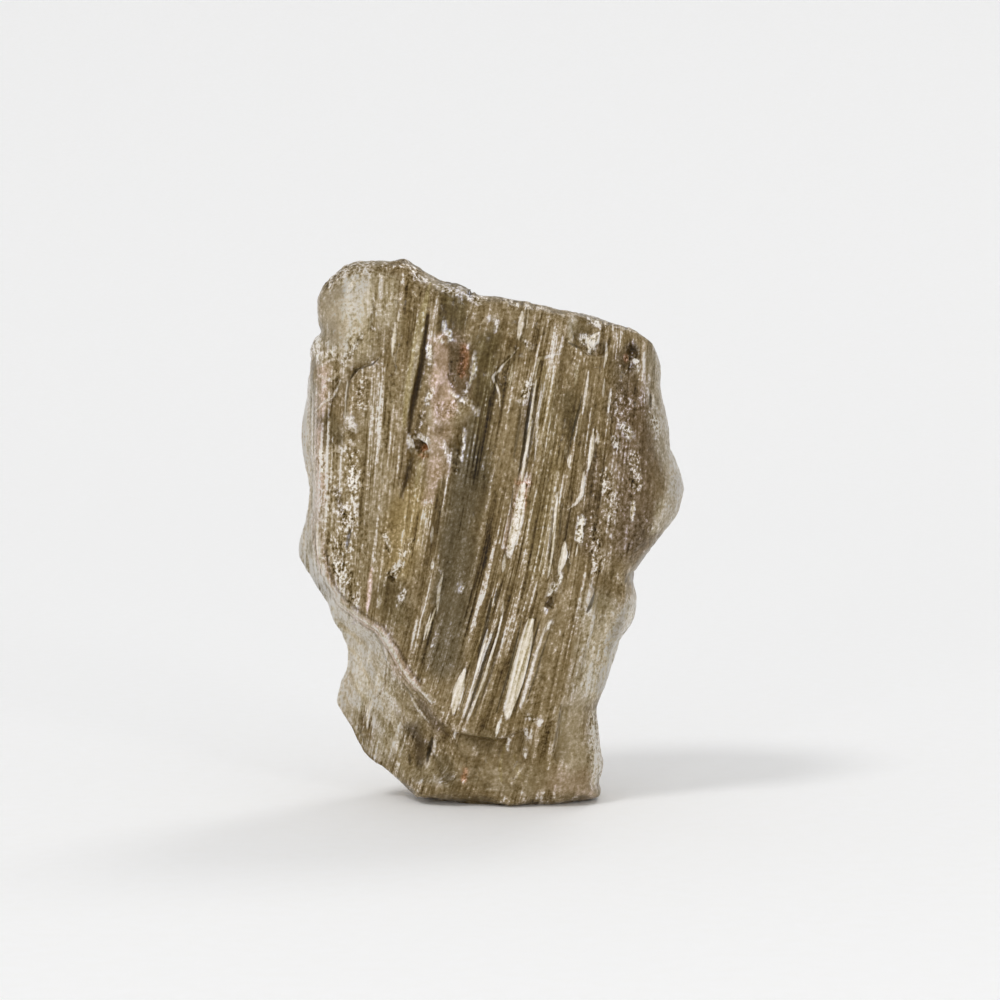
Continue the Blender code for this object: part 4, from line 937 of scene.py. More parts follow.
@dataclass
class Skin:
    """A closed mesh of triangles, held as arrays.

    Args:
        points: Rows of x, y and z.
        triangles: Rows of three point numbers.
    """

    points: np.ndarray
    triangles: np.ndarray

    @classmethod
    def of_node(cls, node: bpy.types.Object) -> "Skin":
        """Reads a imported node, joining the points that its faces share.

        Args:
            node: The node's object.

        Returns:
            The node's surface in millimetres.
        """
        mesh = node.data
        mesh.calc_loop_triangles()
        points = np.empty(len(mesh.vertices) * 3)
        mesh.vertices.foreach_get("co", points)
        corners = np.empty(len(mesh.loop_triangles) * 3, np.int32)
        mesh.loop_triangles.foreach_get("vertices", corners)
        rounded = np.round(points.reshape(-1, 3) / MM, 3)
        shared, index = np.unique(rounded, axis=0, return_inverse=True)
        return cls(shared, index.ravel()[corners].reshape(-1, 3))

    def edges(self) -> tuple[np.ndarray, np.ndarray]:
        """Lists each edge once.

        Returns:
            Rows of two point numbers, and for each triangle the rows of its three edges.
        """
        ends = np.vstack([self.triangles[:, pair] for pair in ((0, 1), (1, 2), (2, 0))])
        ends = np.sort(ends, axis=1).astype(np.int64)
        keys, index = np.unique(ends[:, 0] * len(self.points) + ends[:, 1], return_inverse=True)
        edges = np.column_stack(np.divmod(keys, len(self.points)))
        return edges, index.reshape(3, -1).T

    def normals(self) -> np.ndarray:
        """Works out the outward direction at each point.

        Returns:
            Rows of unit vectors.
        """
        a, b, c = (self.points[self.triangles[:, corner]] for corner in range(3))
        faces = np.cross(b - a, c - a)
        total = np.zeros_like(self.points)
        for corner, axis in product(range(3), range(3)):
            total[:, axis] += np.bincount(
                self.triangles[:, corner], faces[:, axis], minlength=len(self.points))
        return total / np.maximum(np.linalg.norm(total, axis=1), TINY)[:, None]

    def split(self, marked: np.ndarray, bulge: float) -> "Skin":
        """Halves the marked edges, rounding the surface between its points.

        Args:
            marked: One flag for each of the edges.
            bulge: Share of the way to the round surface that the points' directions give.

        Returns:
            The finer skin.
        """
        normals = self.normals()
        edges, sides = self.edges()
        first, second = self.points[edges[marked, 0]], self.points[edges[marked, 1]]
        middle = (first + second) / 2.0
        lift = np.zeros_like(middle)
        for corner, place in ((0, first), (1, second)):
            direction = normals[edges[marked, corner]]
            lift -= direction * ((middle - place) * direction).sum(1)[:, None] / 2.0
        number = np.full(len(edges), -1)
        number[marked] = len(self.points) + np.arange(len(middle))
        cut = marked[sides]
        parts = [self.triangles[~cut.any(axis=1)]]
        a, b, c = self.triangles[cut.all(axis=1)].T
        ab, bc, ca = number[sides[cut.all(axis=1)]].T
        parts += [np.column_stack(p) for p in ((a, ab, ca), (ab, b, bc), (ca, bc, c), (ab, bc, ca))]
        for turn in range(3):
            corners, mids = np.roll(self.triangles, -turn, axis=1), np.roll(number[sides], -turn, axis=1)
            flags = np.roll(cut, -turn, axis=1)
            one = flags[:, 0] & ~flags[:, 1] & ~flags[:, 2]
            two = flags[:, 0] & flags[:, 1] & ~flags[:, 2]
            (a, b, c), m = corners[one].T, mids[one, 0]
            parts += [np.column_stack(p) for p in ((a, m, c), (m, b, c))]
            (a, b, c), m, n = corners[two].T, mids[two, 0], mids[two, 1]
            parts += [np.column_stack(p) for p in ((m, b, n), (a, m, n), (a, n, c))]
        return Skin(np.vstack([self.points, middle + bulge * lift]), np.vstack(parts))

    def averaged(self, values: np.ndarray, rounds: int) -> np.ndarray:
        """Evens values over neighbouring points.

        Args:
            values: One row or number for each point.
            rounds: How many times each takes half of its neighbours' mean.

        Returns:
            The evened values.
        """
        edges, _ = self.edges()
        count = np.bincount(edges.ravel(), minlength=len(self.points))
        columns = np.array(values, float).reshape(len(self.points), -1)
        for _ in range(rounds):
            for axis in range(columns.shape[1]):
                column = columns[:, axis]
                total = np.bincount(edges[:, 0], column[edges[:, 1]], minlength=len(column))
                total += np.bincount(edges[:, 1], column[edges[:, 0]], minlength=len(column))
                columns[:, axis] += (total / count - column) / 2.0
        return columns.reshape(values.shape)

    def crest(self, rounds: int) -> np.ndarray:
        """Tells ridges from grooves.

        Args:
            rounds: How far round each point to look.

        Returns:
            The height of each point above the evened surface: positive on a ridge.
        """
        return ((self.points - self.averaged(self.points, rounds)) * self.normals()).sum(1)

    def thickness(self, most: float, start: float) -> np.ndarray:
        """Measures the glass straight in from each point.

        Args:
            most: The largest value to give.
            start: How far below the skin the search begins.

        Returns:
            The distance to the far side.
        """
        tree = BVHTree.FromPolygons(self.points.tolist(), self.triangles.tolist())
        found = np.full(len(self.points), most)
        for number, (place, normal) in enumerate(zip(self.points, self.normals())):
            *_, distance = tree.ray_cast(Vector(place - normal * start), Vector(-normal), most)
            if distance is not None:
                found[number] = distance + start
        return found


class NodeSheet:
    """Short ways to add and join shader nodes."""

    def __init__(self, material: bpy.types.Material) -> None:
        """Starts with an empty sheet.

        Args:
            material: The material whose nodes these are.
        """
        material.use_nodes = True
        self.tree = material.node_tree
        self.tree.nodes.clear()

    def node(self, kind: str, inputs: dict[str | int, Input | tuple] | None = None,
             **settings: object) -> bpy.types.Node:
        """Adds a node.

        Args:
            kind: Blender's name for it.
            inputs: What is linked or set on its inputs, by their names or numbers.
            settings: Its properties.

        Returns:
            The node.
        """
        node = self.tree.nodes.new(kind)
        for name, value in settings.items():
            setattr(node, name, value)
        for name, source in (inputs or {}).items():
            if isinstance(source, Socket):
                self.tree.links.new(source, node.inputs[name])
            else:
                node.inputs[name].default_value = source
        return node

    def held(self, name: str, output: str = "Fac") -> Socket:
        """Reads what the mesh holds under a name."""
        return self.node("ShaderNodeAttribute", attribute_name=name).outputs[output]

    def math(self, operation: str, *values: Input) -> Socket:
        """Adds a sum of one, two or three numbers."""
        return self.node("ShaderNodeMath", dict(enumerate(values)), operation=operation).outputs["Value"]

    def vector(self, operation: str, *values: Socket | tuple) -> Socket:
        """Adds a sum of vectors or colours, worked part by part."""
        node = self.node("ShaderNodeVectorMath", dict(enumerate(values)), operation=operation)
        return node.outputs["Vector"]

    def ease(self, value: Input, low: float, high: float) -> Socket:
        """Eases from 0 at the low value to 1 at the high one.

        Args:
            value: The number to ease.
            low: Where the result is 0.
            high: Where the result is 1.

        Returns:
            The result's socket.
        """
        inputs = {"Value": value, "From Min": low, "From Max": high}
        return self.node("ShaderNodeMapRange", inputs, interpolation_type="SMOOTHSTEP").outputs["Result"]

    def noise(self, place: Socket, scale: Triple, detail: float, roughness: float = 0.5) -> Socket:
        """Adds a cloud pattern stretched along each axis.

        Args:
            place: The coordinates.
            scale: Grains for each unit along x, y and z.
            detail: Layers of finer grain.
            roughness: Strength of the finer layers.

        Returns:
            The socket of the pattern less its middle value, from -0.5 to 0.5.
        """
        inputs = {"Vector": self.vector("MULTIPLY", place, scale), "Scale": 1.0, "Detail": detail,
                  "Roughness": roughness}
        return self.math("SUBTRACT", self.node("ShaderNodeTexNoise", inputs).outputs["Fac"], 0.5)

    def exposed(self, colour: Socket | tuple, stops: Input) -> Socket:
        """Lightens a colour by doublings; darker glass is warmer too.

        Args:
            colour: The colour or its socket.
            stops: The doublings.

        Returns:
            The result's socket.
        """
        parts = {axis: self.math("POWER", 2.0**share, stops) for axis, share in enumerate(HUE_STOPS)}
        shade = self.node("ShaderNodeCombineXYZ", parts)
        return self.vector("MULTIPLY", colour, shade.outputs["Vector"])

    def mix(self, share: Input, under: Socket, over: Tone) -> Socket:
        """Lays a tone over a colour.

        Args:
            share: How fully the tone covers.
            under: The colour below.
            over: The tone.

        Returns:
            The result's socket.
        """
        inputs = {MIX_SHARE: share, MIX_UNDER: under, MIX_OVER: (*over.linear(), 1.0)}
        return self.node("ShaderNodeMix", inputs, data_type="RGBA").outputs[MIX_RESULT]


@dataclass(frozen=True)
class GlassFinish:
    """A cloudy olive natural glass: see-through, threaded along its flow, with rough specks.

    Args:
        name: The material's name.
        ior: How strongly it bends light.
        sheen: Strength of the skin's plain reflection.
        sheen_tint: Its tint, in linear light.
        gloss: Weight of the thin glossy film.
        gloss_roughness: Roughness of the film.
        roughness: Roughness below the film.
        absorbed: Tint left after light has gone far through the glass, as a display colour.
        absorbing: How fast it absorbs, for each metre.
        thread_scale: The broadest threads for each millimetre across, into and along the flow.
        thread_detail: Layers of finer threads, and their strength.
        speck_scale: The broadest specks for each millimetre.
        speck_detail: Layers of finer specks, and their strength.
        thread_stops: Doublings of light between the fibres, where it is most fibrous.
        speck_stops: Doublings between specks on plain glass, and more where it is granular.
        tail: How much further the strongest threads and specks stand out.
        sparkle: Doublings at which a speck starts to turn white, and is white: white grains, partly painted
            glitter.
        channels: How many channels of crisp lines there are.
        ragged: How far the threads fray a line's edge.
        line_edge: Where a line's edge begins and is full, inwards from its half width.
        line_streaks: How strongly the threads show in a line.
        line_calm: Share of the threads and specks that a full line hides.
    """

    name: str = "flow_banded_glass"
    ior: float = 1.5
    sheen: float = 0.12
    sheen_tint: Triple = (1.0, 0.84, 0.62)
    gloss: float = 0.16
    gloss_roughness: float = 0.09
    roughness: float = 0.3
    absorbed: Triple = (190, 172, 120)
    absorbing: float = 110.0
    thread_scale: Triple = (4.6, 1.0, 0.13)
    thread_detail: tuple[float, float] = (3.0, 0.62)
    speck_scale: Triple = (6.0, 5.4, 4.6)
    speck_detail: tuple[float, float] = (2.0, 0.66)
    thread_stops: float = 13.0
    speck_stops: tuple[float, float] = (3.6, 8.0)
    tail: float = 0.35
    sparkle: tuple[float, float] = (1.8, 3.8)
    channels: int = 4
    ragged: float = 0.15
    line_edge: tuple[float, float] = (-0.03, 0.03)
    line_streaks: float = 1.5
    line_calm: float = 0.75

    def make(self) -> bpy.types.Material:
        """Builds the material.

        Returns:
            The finished material.
        """
        material = bpy.data.materials.new(self.name)
        sheet = NodeSheet(material)
        surface = sheet.node("ShaderNodeBsdfPrincipled", {
            "IOR": self.ior,
            "Specular IOR Level": self.sheen,
            "Specular Tint": (*self.sheen_tint, 1.0),
            "Roughness": self.roughness,
            "Coat Weight": self.gloss,
            "Coat Roughness": self.gloss_roughness,
            "Base Color": self._colour(sheet),
            "Transmission Weight": sheet.held("through"),
        })
        depth = sheet.node("ShaderNodeVolumeAbsorption", {
            "Color": (*linear_light(self.absorbed), 1.0),
            "Density": self.absorbing,
        })
        sheet.node("ShaderNodeOutputMaterial", {
            "Surface": surface.outputs["BSDF"],
            "Volume": depth.outputs["Volume"],
        })
        return material

    def _colour(self, sheet: NodeSheet) -> Socket:
        """Works the threads, the specks and the lines into the skin's tint.

        Args:
            sheet: Where the nodes go.

        Returns:
            The socket of the colour.
        """
        place = sheet.held("flow", "Vector")
        threads = sheet.noise(place, self.thread_scale, *self.thread_detail)
        specks = sheet.noise(place, self.speck_scale, *self.speck_detail)
        plain, granular = self.speck_stops
        rough = sheet.math("MULTIPLY_ADD", sheet.held("grain"), granular, plain)
        rough = sheet.math("MULTIPLY", specks, rough)
        along = sheet.math("MULTIPLY", sheet.held("fibre"), self.thread_stops)
        even = sheet.math("MULTIPLY_ADD", threads, along, rough)
        spread = sheet.math("MULTIPLY_ADD", sheet.math("ABSOLUTE", even), self.tail, 1.0 - self.tail)
        stops = sheet.math("MULTIPLY", even, spread)
        colour, lines = self._drawn(sheet, sheet.held("tint", "Color"), threads)
        stops = sheet.math("MULTIPLY", stops, sheet.math("MULTIPLY_ADD", lines, -self.line_calm, 1.0))
        colour = sheet.vector("MINIMUM", sheet.exposed(colour, stops), GLINT.linear())
        # Specks past the sparkle mark turn white: partly the glass's white grains, partly painted glitter.
        return sheet.mix(sheet.ease(rough, *self.sparkle), colour, CHALK)

    def _drawn(self, sheet: NodeSheet, colour: Socket, threads: Socket) -> tuple[Socket, Socket]:
        """Draws the crisp lines over the glass.

        Args:
            sheet: Where the nodes go.
            colour: The glass below.
            threads: The pattern that frays and streaks the lines.

        Returns:
            The sockets of the colour with its lines, and of how fully a line is there.
        """
        lines: Input = 0.0
        fray = sheet.math("MULTIPLY", threads, self.ragged)
        streaks = sheet.math("MULTIPLY_ADD", threads, self.line_streaks, 1.0)
        for number in range(self.channels):
            line = sheet.node("ShaderNodeSeparateXYZ", {0: sheet.held(f"line_{number}", "Vector")})
            across, half, strength = line.outputs
            inside = sheet.math("SUBTRACT", sheet.math("ADD", half, fray), sheet.math("ABSOLUTE", across))
            cover = sheet.math("MULTIPLY", sheet.ease(inside, *self.line_edge), streaks)
            light = sheet.math("MULTIPLY", cover, strength)
            colour = sheet.mix(light, colour, CHALK)
            colour = sheet.mix(sheet.math("MULTIPLY", light, -1.0), colour, INK)
            lines = sheet.math("MAXIMUM", lines, sheet.math("ABSOLUTE", light))
        return colour, sheet.math("MINIMUM", lines, 1.0)


@dataclass(frozen=True)
class PaleFinish:
    """A matt pale studio sheet with a faint tooth.

    Args:
        name: The material's name.
        tone: Its display colour.
        roughness: How matt it is.
        tooth_scale: Grains of the tooth for each metre.
        tooth_stops: Doublings of light between them.
    """

    name: str = "pale_sheet"
    tone: Triple = (251, 251, 251)
    roughness: float = 0.9
    tooth_scale: Triple = (900.0, 900.0, 900.0)
    tooth_stops: float = 0.04

    def make(self) -> bpy.types.Material:
        """Builds the material.

        Returns:
            The finished material.
        """
        material = bpy.data.materials.new(self.name)
        sheet = NodeSheet(material)
        place = sheet.node("ShaderNodeTexCoord").outputs["Object"]
        tooth = sheet.noise(place, self.tooth_scale, detail=1.0)
        stops = sheet.math("MULTIPLY", tooth, self.tooth_stops)
        colour = sheet.exposed(linear_light(self.tone), stops)
        inputs = {"Roughness": self.roughness, "Base Color": colour}
        surface = sheet.node("ShaderNodeBsdfPrincipled", inputs)
        sheet.node("ShaderNodeOutputMaterial", {"Surface": surface.outputs["BSDF"]})
        return material


# How far the outline of each kind of mark wanders across and up, and in which pattern.
WANDER = {
    Edge.SOFT: ((0.28, Grain((1.2, 1.5, 2.6), seed=31)), (0.5, Grain((1.2, 1.5, 2.6), seed=37))),
    Edge.CRUMBLED: ((0.12, Grain((0.26, 0.3, 0.3), seed=47)), (0.14, Grain((0.26, 0.3, 0.3), seed=53))),
}
# The same across the flow, for the marks that follow it.
COMB_REACH = 0.05
COMB = Grain((0.9, 1.2, 2.4), octaves=1, seed=41)


@dataclass(frozen=True)
class PlainGlass:
    """What the glass is like where no mark is.

    Args:
        tone: Its tint.
        grain: How granular it is.
        fibre: How fibrous it is.
        through: How much light passes through.
        thin: Thicknesses between which the glass turns from pale to full.
        backlit_thin_tone: The pale tint painted on the thinnest glass, for the light that shines through
            it.
        thin_share: How fully that covers.
        thin_through: How much more light passes there.
        probe: The greatest thickness measured, and how far below the skin the measure begins.
        probe_rounds: Rounds that even the thickness.
        rim_grain: How much more granular the rim is.
        rim_turn: How far the skin faces the front where it counts as rim, and no longer does.
        grain_patches: Where it is more or less granular.
        fibre_patches: Where it is more or less fibrous.
        patch_edge: The values of these patterns at which a patch is calmest and strongest.
        least_patch: Share of the threads and specks that the calmest patches keep.
        most: The greatest grain and fibre.
        most_through: The greatest share of light that passes through.
        lift: How much lighter the tint is painted where light passes, for the light shining through.
    """

    tone: Tone = OLIVE
    grain: float = 0.2
    fibre: float = 0.6
    through: float = 0.32
    thin: tuple[float, float] = (0.8, 5.0)
    backlit_thin_tone: Tone = BONE
    thin_share: float = 0.7
    thin_through: float = 0.15
    probe: tuple[float, float] = (20.0, 0.02)
    probe_rounds: int = 10
    rim_grain: float = 0.12
    rim_turn: tuple[float, float] = (0.15, 0.5)
    grain_patches: Grain = Grain((0.9, 0.9, 1.3), seed=73)
    fibre_patches: Grain = Grain((1.5, 2.0, 4.5), seed=71)
    patch_edge: tuple[float, float] = (-0.7, 0.7)
    least_patch: float = 0.5
    most: float = 1.4
    most_through: float = 0.85
    lift: float = 1.0

    def marks(self, skin: Skin) -> dict[str, np.ndarray]:
        """Works out the glass before any mark is laid on it.

        Args:
            skin: The evened skin.

        Returns:
            The tint, and the grain, fibre, through and height values, by name.
        """
        count = len(skin.points)
        marks = {"grain": np.full(count, self.grain), "fibre": np.full(count, self.fibre),
                 "through": np.full(count, self.through), "height": np.zeros(count)}
        tint = np.tile(self.tone.linear(), (count, 1))
        thickness = skin.averaged(skin.thickness(*self.probe), self.probe_rounds)
        thin = 1.0 - smooth(thickness, *self.thin)
        # Painted light: thin glass is tinted pale, for the light that shines through it.
        tint += (self.backlit_thin_tone.linear() - tint) * (self.thin_share * thin)[:, None]
        marks["through"] += self.thin_through * thin
        marks["grain"] += self.rim_grain * (1.0 - smooth(np.abs(skin.normals()[:, 1]), *self.rim_turn))
        marks["tint"] = tint
        return marks

    def settle(self, marks: dict[str, np.ndarray], points: np.ndarray, flow: np.ndarray) -> None:
        """Calms the marks in patches, keeps them within bounds and paints the tint lighter where light
        passes.

        Args:
            marks: The marks, which are changed.
            points: Rows of x, y and z.
            flow: Rows of band, y and z.
        """
        patches = {"grain": self.grain_patches.at(points), "fibre": self.fibre_patches.at(flow)}
        for name, patch in patches.items():
            swing = 2.0 - 2.0 * self.least_patch
            share = self.least_patch + swing * smooth(patch, *self.patch_edge)
            marks[name] = np.clip(marks[name] * share, 0.0, self.most)
        marks["through"] = np.clip(marks["through"], 0.0, self.most_through)
        # Painted light: the tint is lightened where light passes through the glass.
        marks["tint"] = marks["tint"] * (1.0 + self.lift * marks["through"])[:, None]


@dataclass(frozen=True)
class Relief:
    """The patterns of the skin: how high each stands, and its tint's light and shade, partly painted.

    Args:
        coarse: Broad fibres along the flow.
        middle: Finer fibres along the flow.
        specks: Rough grains.
        clouds: Slow changes of light along the flow.
        swell: Broad unevenness.
        folds: Folds beside the ridge, by the distance from it.
        fibre_heights: Heights of the broad and the finer fibres.
        fibre_stops: Their doublings of light.
        speck_heights: Height of the specks on smooth glass, and more where it is granular.
        speck_stops: The same, in doublings of light.
        cloud_stops: Doublings of light between the clouds.
        swell_height: Height of the broad unevenness.
        fold_height: Height of the folds.
        painted_fold_stops: Painted light for each millimetre that a fold stands out, painted shade where
            sunk.
        fold_start: Distances from the ridge at which the folds start and are full.
        fold_end: Heights at which they begin to die out and are gone.
        crest_rounds: How far round a point it is compared with its surroundings.
        crest_height: How far above them it counts as a full crest.
        painted_crest_stops: Painted highlight on a full crest, in doublings, and as much painted shade in a
            full groove.
        stops_kept: The least and the greatest doublings.
        pale: Doublings at which the glass starts to turn pale, and is palest.
        pale_tone: What it turns to.
        pale_share: How fully it does.
        darkest: The least light in any tint.
    """

    coarse: Grain = Grain((0.90, 2.0, 8.0), seed=3)
    middle: Grain = Grain((0.42, 1.4, 4.5), octaves=1, seed=9)
    specks: Grain = Grain((0.34, 0.34, 0.44), kept=0.7, seed=17)
    clouds: Grain = Grain((1.7, 2.6, 6.0), seed=21)
    swell: Grain = Grain((1.2, 1.2, 1.8), seed=23)
    folds: Grain = Grain((0.5, 1.0, 5.5), seed=61)
    fibre_heights: tuple[float, float] = (0.050, 0.040)
    fibre_stops: tuple[float, float] = (0.35, 0.40)
    speck_heights: tuple[float, float] = (0.008, 0.07)
    speck_stops: tuple[float, float] = (0.1, 0.4)
    cloud_stops: float = 0.35
    swell_height: float = 0.04
    fold_height: float = 0.08
    painted_fold_stops: float = 6.5
    fold_start: tuple[float, float] = (0.1, 0.6)
    fold_end: tuple[float, float] = (14.0, 26.0)
    crest_rounds: int = 5
    crest_height: float = 0.03
    painted_crest_stops: float = 0.5
    stops_kept: tuple[float, float] = (-1.8, 1.5)
    pale: tuple[float, float] = (0.7, 1.5)
    pale_tone: Tone = BONE
    pale_share: float = 0.6
    darkest: float = 0.004

    def raise_marks(self, marks: dict[str, np.ndarray], points: np.ndarray, flow: np.ndarray,
                    front: np.ndarray) -> np.ndarray:
        """Works out how far each point moves outwards, and the tint's light and shade that go with it.

        Args:
            marks: The marks; the shade, with painted light and shade on the folds, is added as stops.
            points: Rows of x, y and z.
            flow: Rows of band, y and z.
            front: How far each point belongs to the front.

        Returns:
            The distances.
        """
        x, z = points[:, 0], points[:, 2]
        coarse, middle, clouds = (grain.at(flow) for grain in (self.coarse, self.middle, self.clouds))
        specks = self.specks.at(points)
        folds = self._folds(x, z) * front
        fibre, grain = marks["fibre"], marks["grain"]
        broad, fine = self.fibre_heights
        plain, granular = self.speck_heights
        total = (broad * coarse + fine * middle) * fibre
        total += specks * (plain + granular * grain)
        total += marks["height"]
        total += folds
        faces = ((FRONT_LEDGES + FRONT_PITS, front), (BACK_LEDGES + BACK_PITS, 1.0 - front))
        for features, weight in faces:
            for feature in features:
                total += feature.height(x, z) * weight
        total += self.swell_height * self.swell.at(points)
        broad, fine = self.fibre_stops
        plain, granular = self.speck_stops
        marks["stops"] = (broad * coarse + fine * middle) * fibre
        # The folds' height is also painted into the tint: light where they stand out, shade where they
        # sink.
        marks["stops"] += (self.cloud_stops * clouds + (plain + granular * grain) * specks
                           + self.painted_fold_stops * folds)
        return total

    def _folds(self, x: np.ndarray, z: np.ndarray) -> np.ndarray:
        """Folds that run beside the ridge, down through the hollow.

        Args:
            x: Places across.
            z: Places up.

        Returns:
            Their height.
        """
        distance, side, _ = path_distance(x, z, RIDGE)
        inside = smooth(distance, *self.fold_start) * (side > 0.0) * (1.0 - smooth(z, *self.fold_end))
        places = np.column_stack([distance, np.zeros(len(x)), z])
        return self.fold_height * self.folds.at(places) * inside

    def shade(self, skin: Skin, marks: dict[str, np.ndarray]) -> None:
        """Paints shade into the grooves and highlights onto the crests of the finished skin's tint.

        Args:
            skin: The finished skin.
            marks: The marks, of which the tint is changed.
        """
        # Painted shade and highlight: grooves are darkened and crests lightened by how far each stands from
        # its evened surroundings.
        crest = np.clip(skin.crest(self.crest_rounds) / self.crest_height, -1.0, 1.0)
        stops = np.clip(marks["stops"] + self.painted_crest_stops * crest, *self.stops_kept)
        tint = marks["tint"] * 2.0 ** (stops[:, None] * HUE_STOPS)
        # The lightest tints, the painted crest highlights among them, are turned pale towards pale_tone.
        pale = smooth(stops, *self.pale) * self.pale_share
        tint += (self.pale_tone.linear() - tint) * pale[:, None]
        marks["tint"] = np.clip(tint, self.darkest, CHALK.linear())


@dataclass
class Specimen:
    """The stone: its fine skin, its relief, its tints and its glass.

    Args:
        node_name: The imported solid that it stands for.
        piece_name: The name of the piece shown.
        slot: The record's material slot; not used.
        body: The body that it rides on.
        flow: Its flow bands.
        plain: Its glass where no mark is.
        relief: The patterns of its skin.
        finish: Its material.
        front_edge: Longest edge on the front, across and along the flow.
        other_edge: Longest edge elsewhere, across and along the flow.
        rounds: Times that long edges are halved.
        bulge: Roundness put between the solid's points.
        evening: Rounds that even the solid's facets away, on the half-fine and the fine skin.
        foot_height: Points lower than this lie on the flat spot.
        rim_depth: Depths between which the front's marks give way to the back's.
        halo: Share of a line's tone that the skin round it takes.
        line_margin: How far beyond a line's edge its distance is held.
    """

    node_name: str = "stone"
    piece_name: str = "glass_stone"
    slot: str = "glass"
    body: str = "root"
    flow: FlowLines = field(default_factory=FlowLines)
    plain: PlainGlass = field(default_factory=PlainGlass)
    relief: Relief = field(default_factory=Relief)
    finish: GlassFinish = field(default_factory=GlassFinish)
    front_edge: tuple[float, float] = (0.165, 0.40)
    other_edge: tuple[float, float] = (0.27, 0.64)
    rounds: int = 3
    bulge: float = 0.6
    evening: tuple[int, int] = (4, 1)
    foot_height: float = 0.03
    rim_depth: tuple[float, float] = (-0.3, 0.9)
    halo: float = 0.15
    line_margin: float = 0.3

    def build(self) -> bpy.types.Object:
        """Makes the fine skin with its relief and its marks.

        Returns:
            The finished object, without its material.
        """
        skin = Skin.of_node(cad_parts[self.node_name])
        half_fine, fine = self.evening
        for number in range(self.rounds):
            skin = skin.split(self._long_edges(skin), self.bulge)
            if number == self.rounds - 2:
                self._even(skin, half_fine)
        self._even(skin, fine)
        flow = self.flow.places(skin.points)
        marks = self._marks(skin, flow)
        lift = self.relief.raise_marks(marks, skin.points, flow, self._front(skin.points))
        foot = skin.points[:, 2] < self.foot_height
        skin.points += skin.normals() * np.where(foot, 0.0, lift)[:, None]
        skin.points[:, 2] = np.maximum(skin.points[:, 2], 0.0)
        self.relief.shade(skin, marks)
        return self._object(skin, marks)

    def _front(self, points: np.ndarray) -> np.ndarray:
        """Says how far each point belongs to the front, from 1 to 0."""
        return 1.0 - smooth(points[:, 1], *self.rim_depth)

    def _long_edges(self, skin: Skin) -> np.ndarray:
        """Marks the edges that are too long for the marks to be drawn on.

        Args:
            skin: The skin so far.

        Returns:
            One flag for each edge.
        """
        edges, _ = skin.edges()
        flow = self.flow.places(skin.points)
        gap = flow[edges[:, 1]] - flow[edges[:, 0]]
        share = self._front(skin.points[edges].mean(axis=1))
        across, along = (other + (front - other) * share
                         for front, other in zip(self.front_edge, self.other_edge))
        return np.hypot(np.hypot(gap[:, 0], gap[:, 1]) / across, gap[:, 2] / along) > 1.0

    def _even(self, skin: Skin, rounds: int) -> None:
        """Evens the skin's points, apart from those it stands on.

        Args:
            skin: The skin, which is changed.
            rounds: How many times.
        """
        foot = skin.points[:, 2] < self.foot_height
        resting = skin.points[foot].copy()
        skin.points = skin.averaged(skin.points, rounds)
        skin.points[foot] = resting

    def _places(self, skin: Skin, flow: np.ndarray) -> dict[Edge, tuple[np.ndarray, np.ndarray]]:
        """Gives where marks are looked up, so that their outlines wander.

        Args:
            skin: The skin.
            flow: Rows of band, y and z.

        Returns:
            Places across and up, for each kind of outline.
        """
        x, z = skin.points[:, 0], skin.points[:, 2]
        places = {Edge.COMBED: (x + COMB_REACH * COMB.at(flow), z)}
        for edge, ((right, sideways), (up, upwards)) in WANDER.items():
            places[edge] = (x + right * sideways.at(skin.points), z + up * upwards.at(skin.points))
        return places

    def _marks(self, skin: Skin, flow: np.ndarray) -> dict[str, np.ndarray]:
        """Works out what the skin's own marks are at each point.

        Args:
            skin: The evened skin.
            flow: Rows of band, y and z.

        Returns:
            The tint, and the grain, fibre, through and height values, by name.
        """
        places = self._places(skin, flow)
        front = self._front(skin.points)
        marks = self.plain.marks(skin)
        tint = marks.pop("tint")
        for strokes, weight in ((FRONT_STROKES, front), (BACK_STROKES, 1.0 - front)):
            for stroke in strokes:
                mask = stroke.mask(*places[stroke.edge]) * weight
                for name in marks:
                    marks[name] += mask * getattr(stroke, name)
                amount = stroke.amount * (self.halo if stroke.line_strength() else 1.0)
                tint += (stroke.tone.linear() - tint) * (mask * amount)[:, None]
        marks["tint"] = tint
        self.plain.settle(marks, skin.points, flow)
        return marks

    def _object(self, skin: Skin, marks: dict[str, np.ndarray]) -> bpy.types.Object:
        """Turns the skin into an object that holds its marks.

        Args:
            skin: The finished skin.
            marks: Its marks.

        Returns:
            The object.
        """
        mesh = bpy.data.meshes.new(self.piece_name)
        mesh.from_pydata((skin.points * MM).tolist(), [], skin.triangles.tolist())
        mesh.shade_smooth()
        flow = self.flow.places(skin.points)
        for name in ("grain", "fibre", "through"):
            mesh.attributes.new(name, "FLOAT", "POINT").data.foreach_set("value", marks[name])
        for name, rows in ({"flow": flow} | self._lines(skin, flow)).items():
            mesh.attributes.new(name, "FLOAT_VECTOR", "POINT").data.foreach_set("vector", rows.ravel())
        tint = np.column_stack([marks["tint"], np.ones(len(flow))])
        mesh.attributes.new("tint", "FLOAT_COLOR", "POINT").data.foreach_set("color", tint.ravel())
        return placed(self.piece_name, mesh)

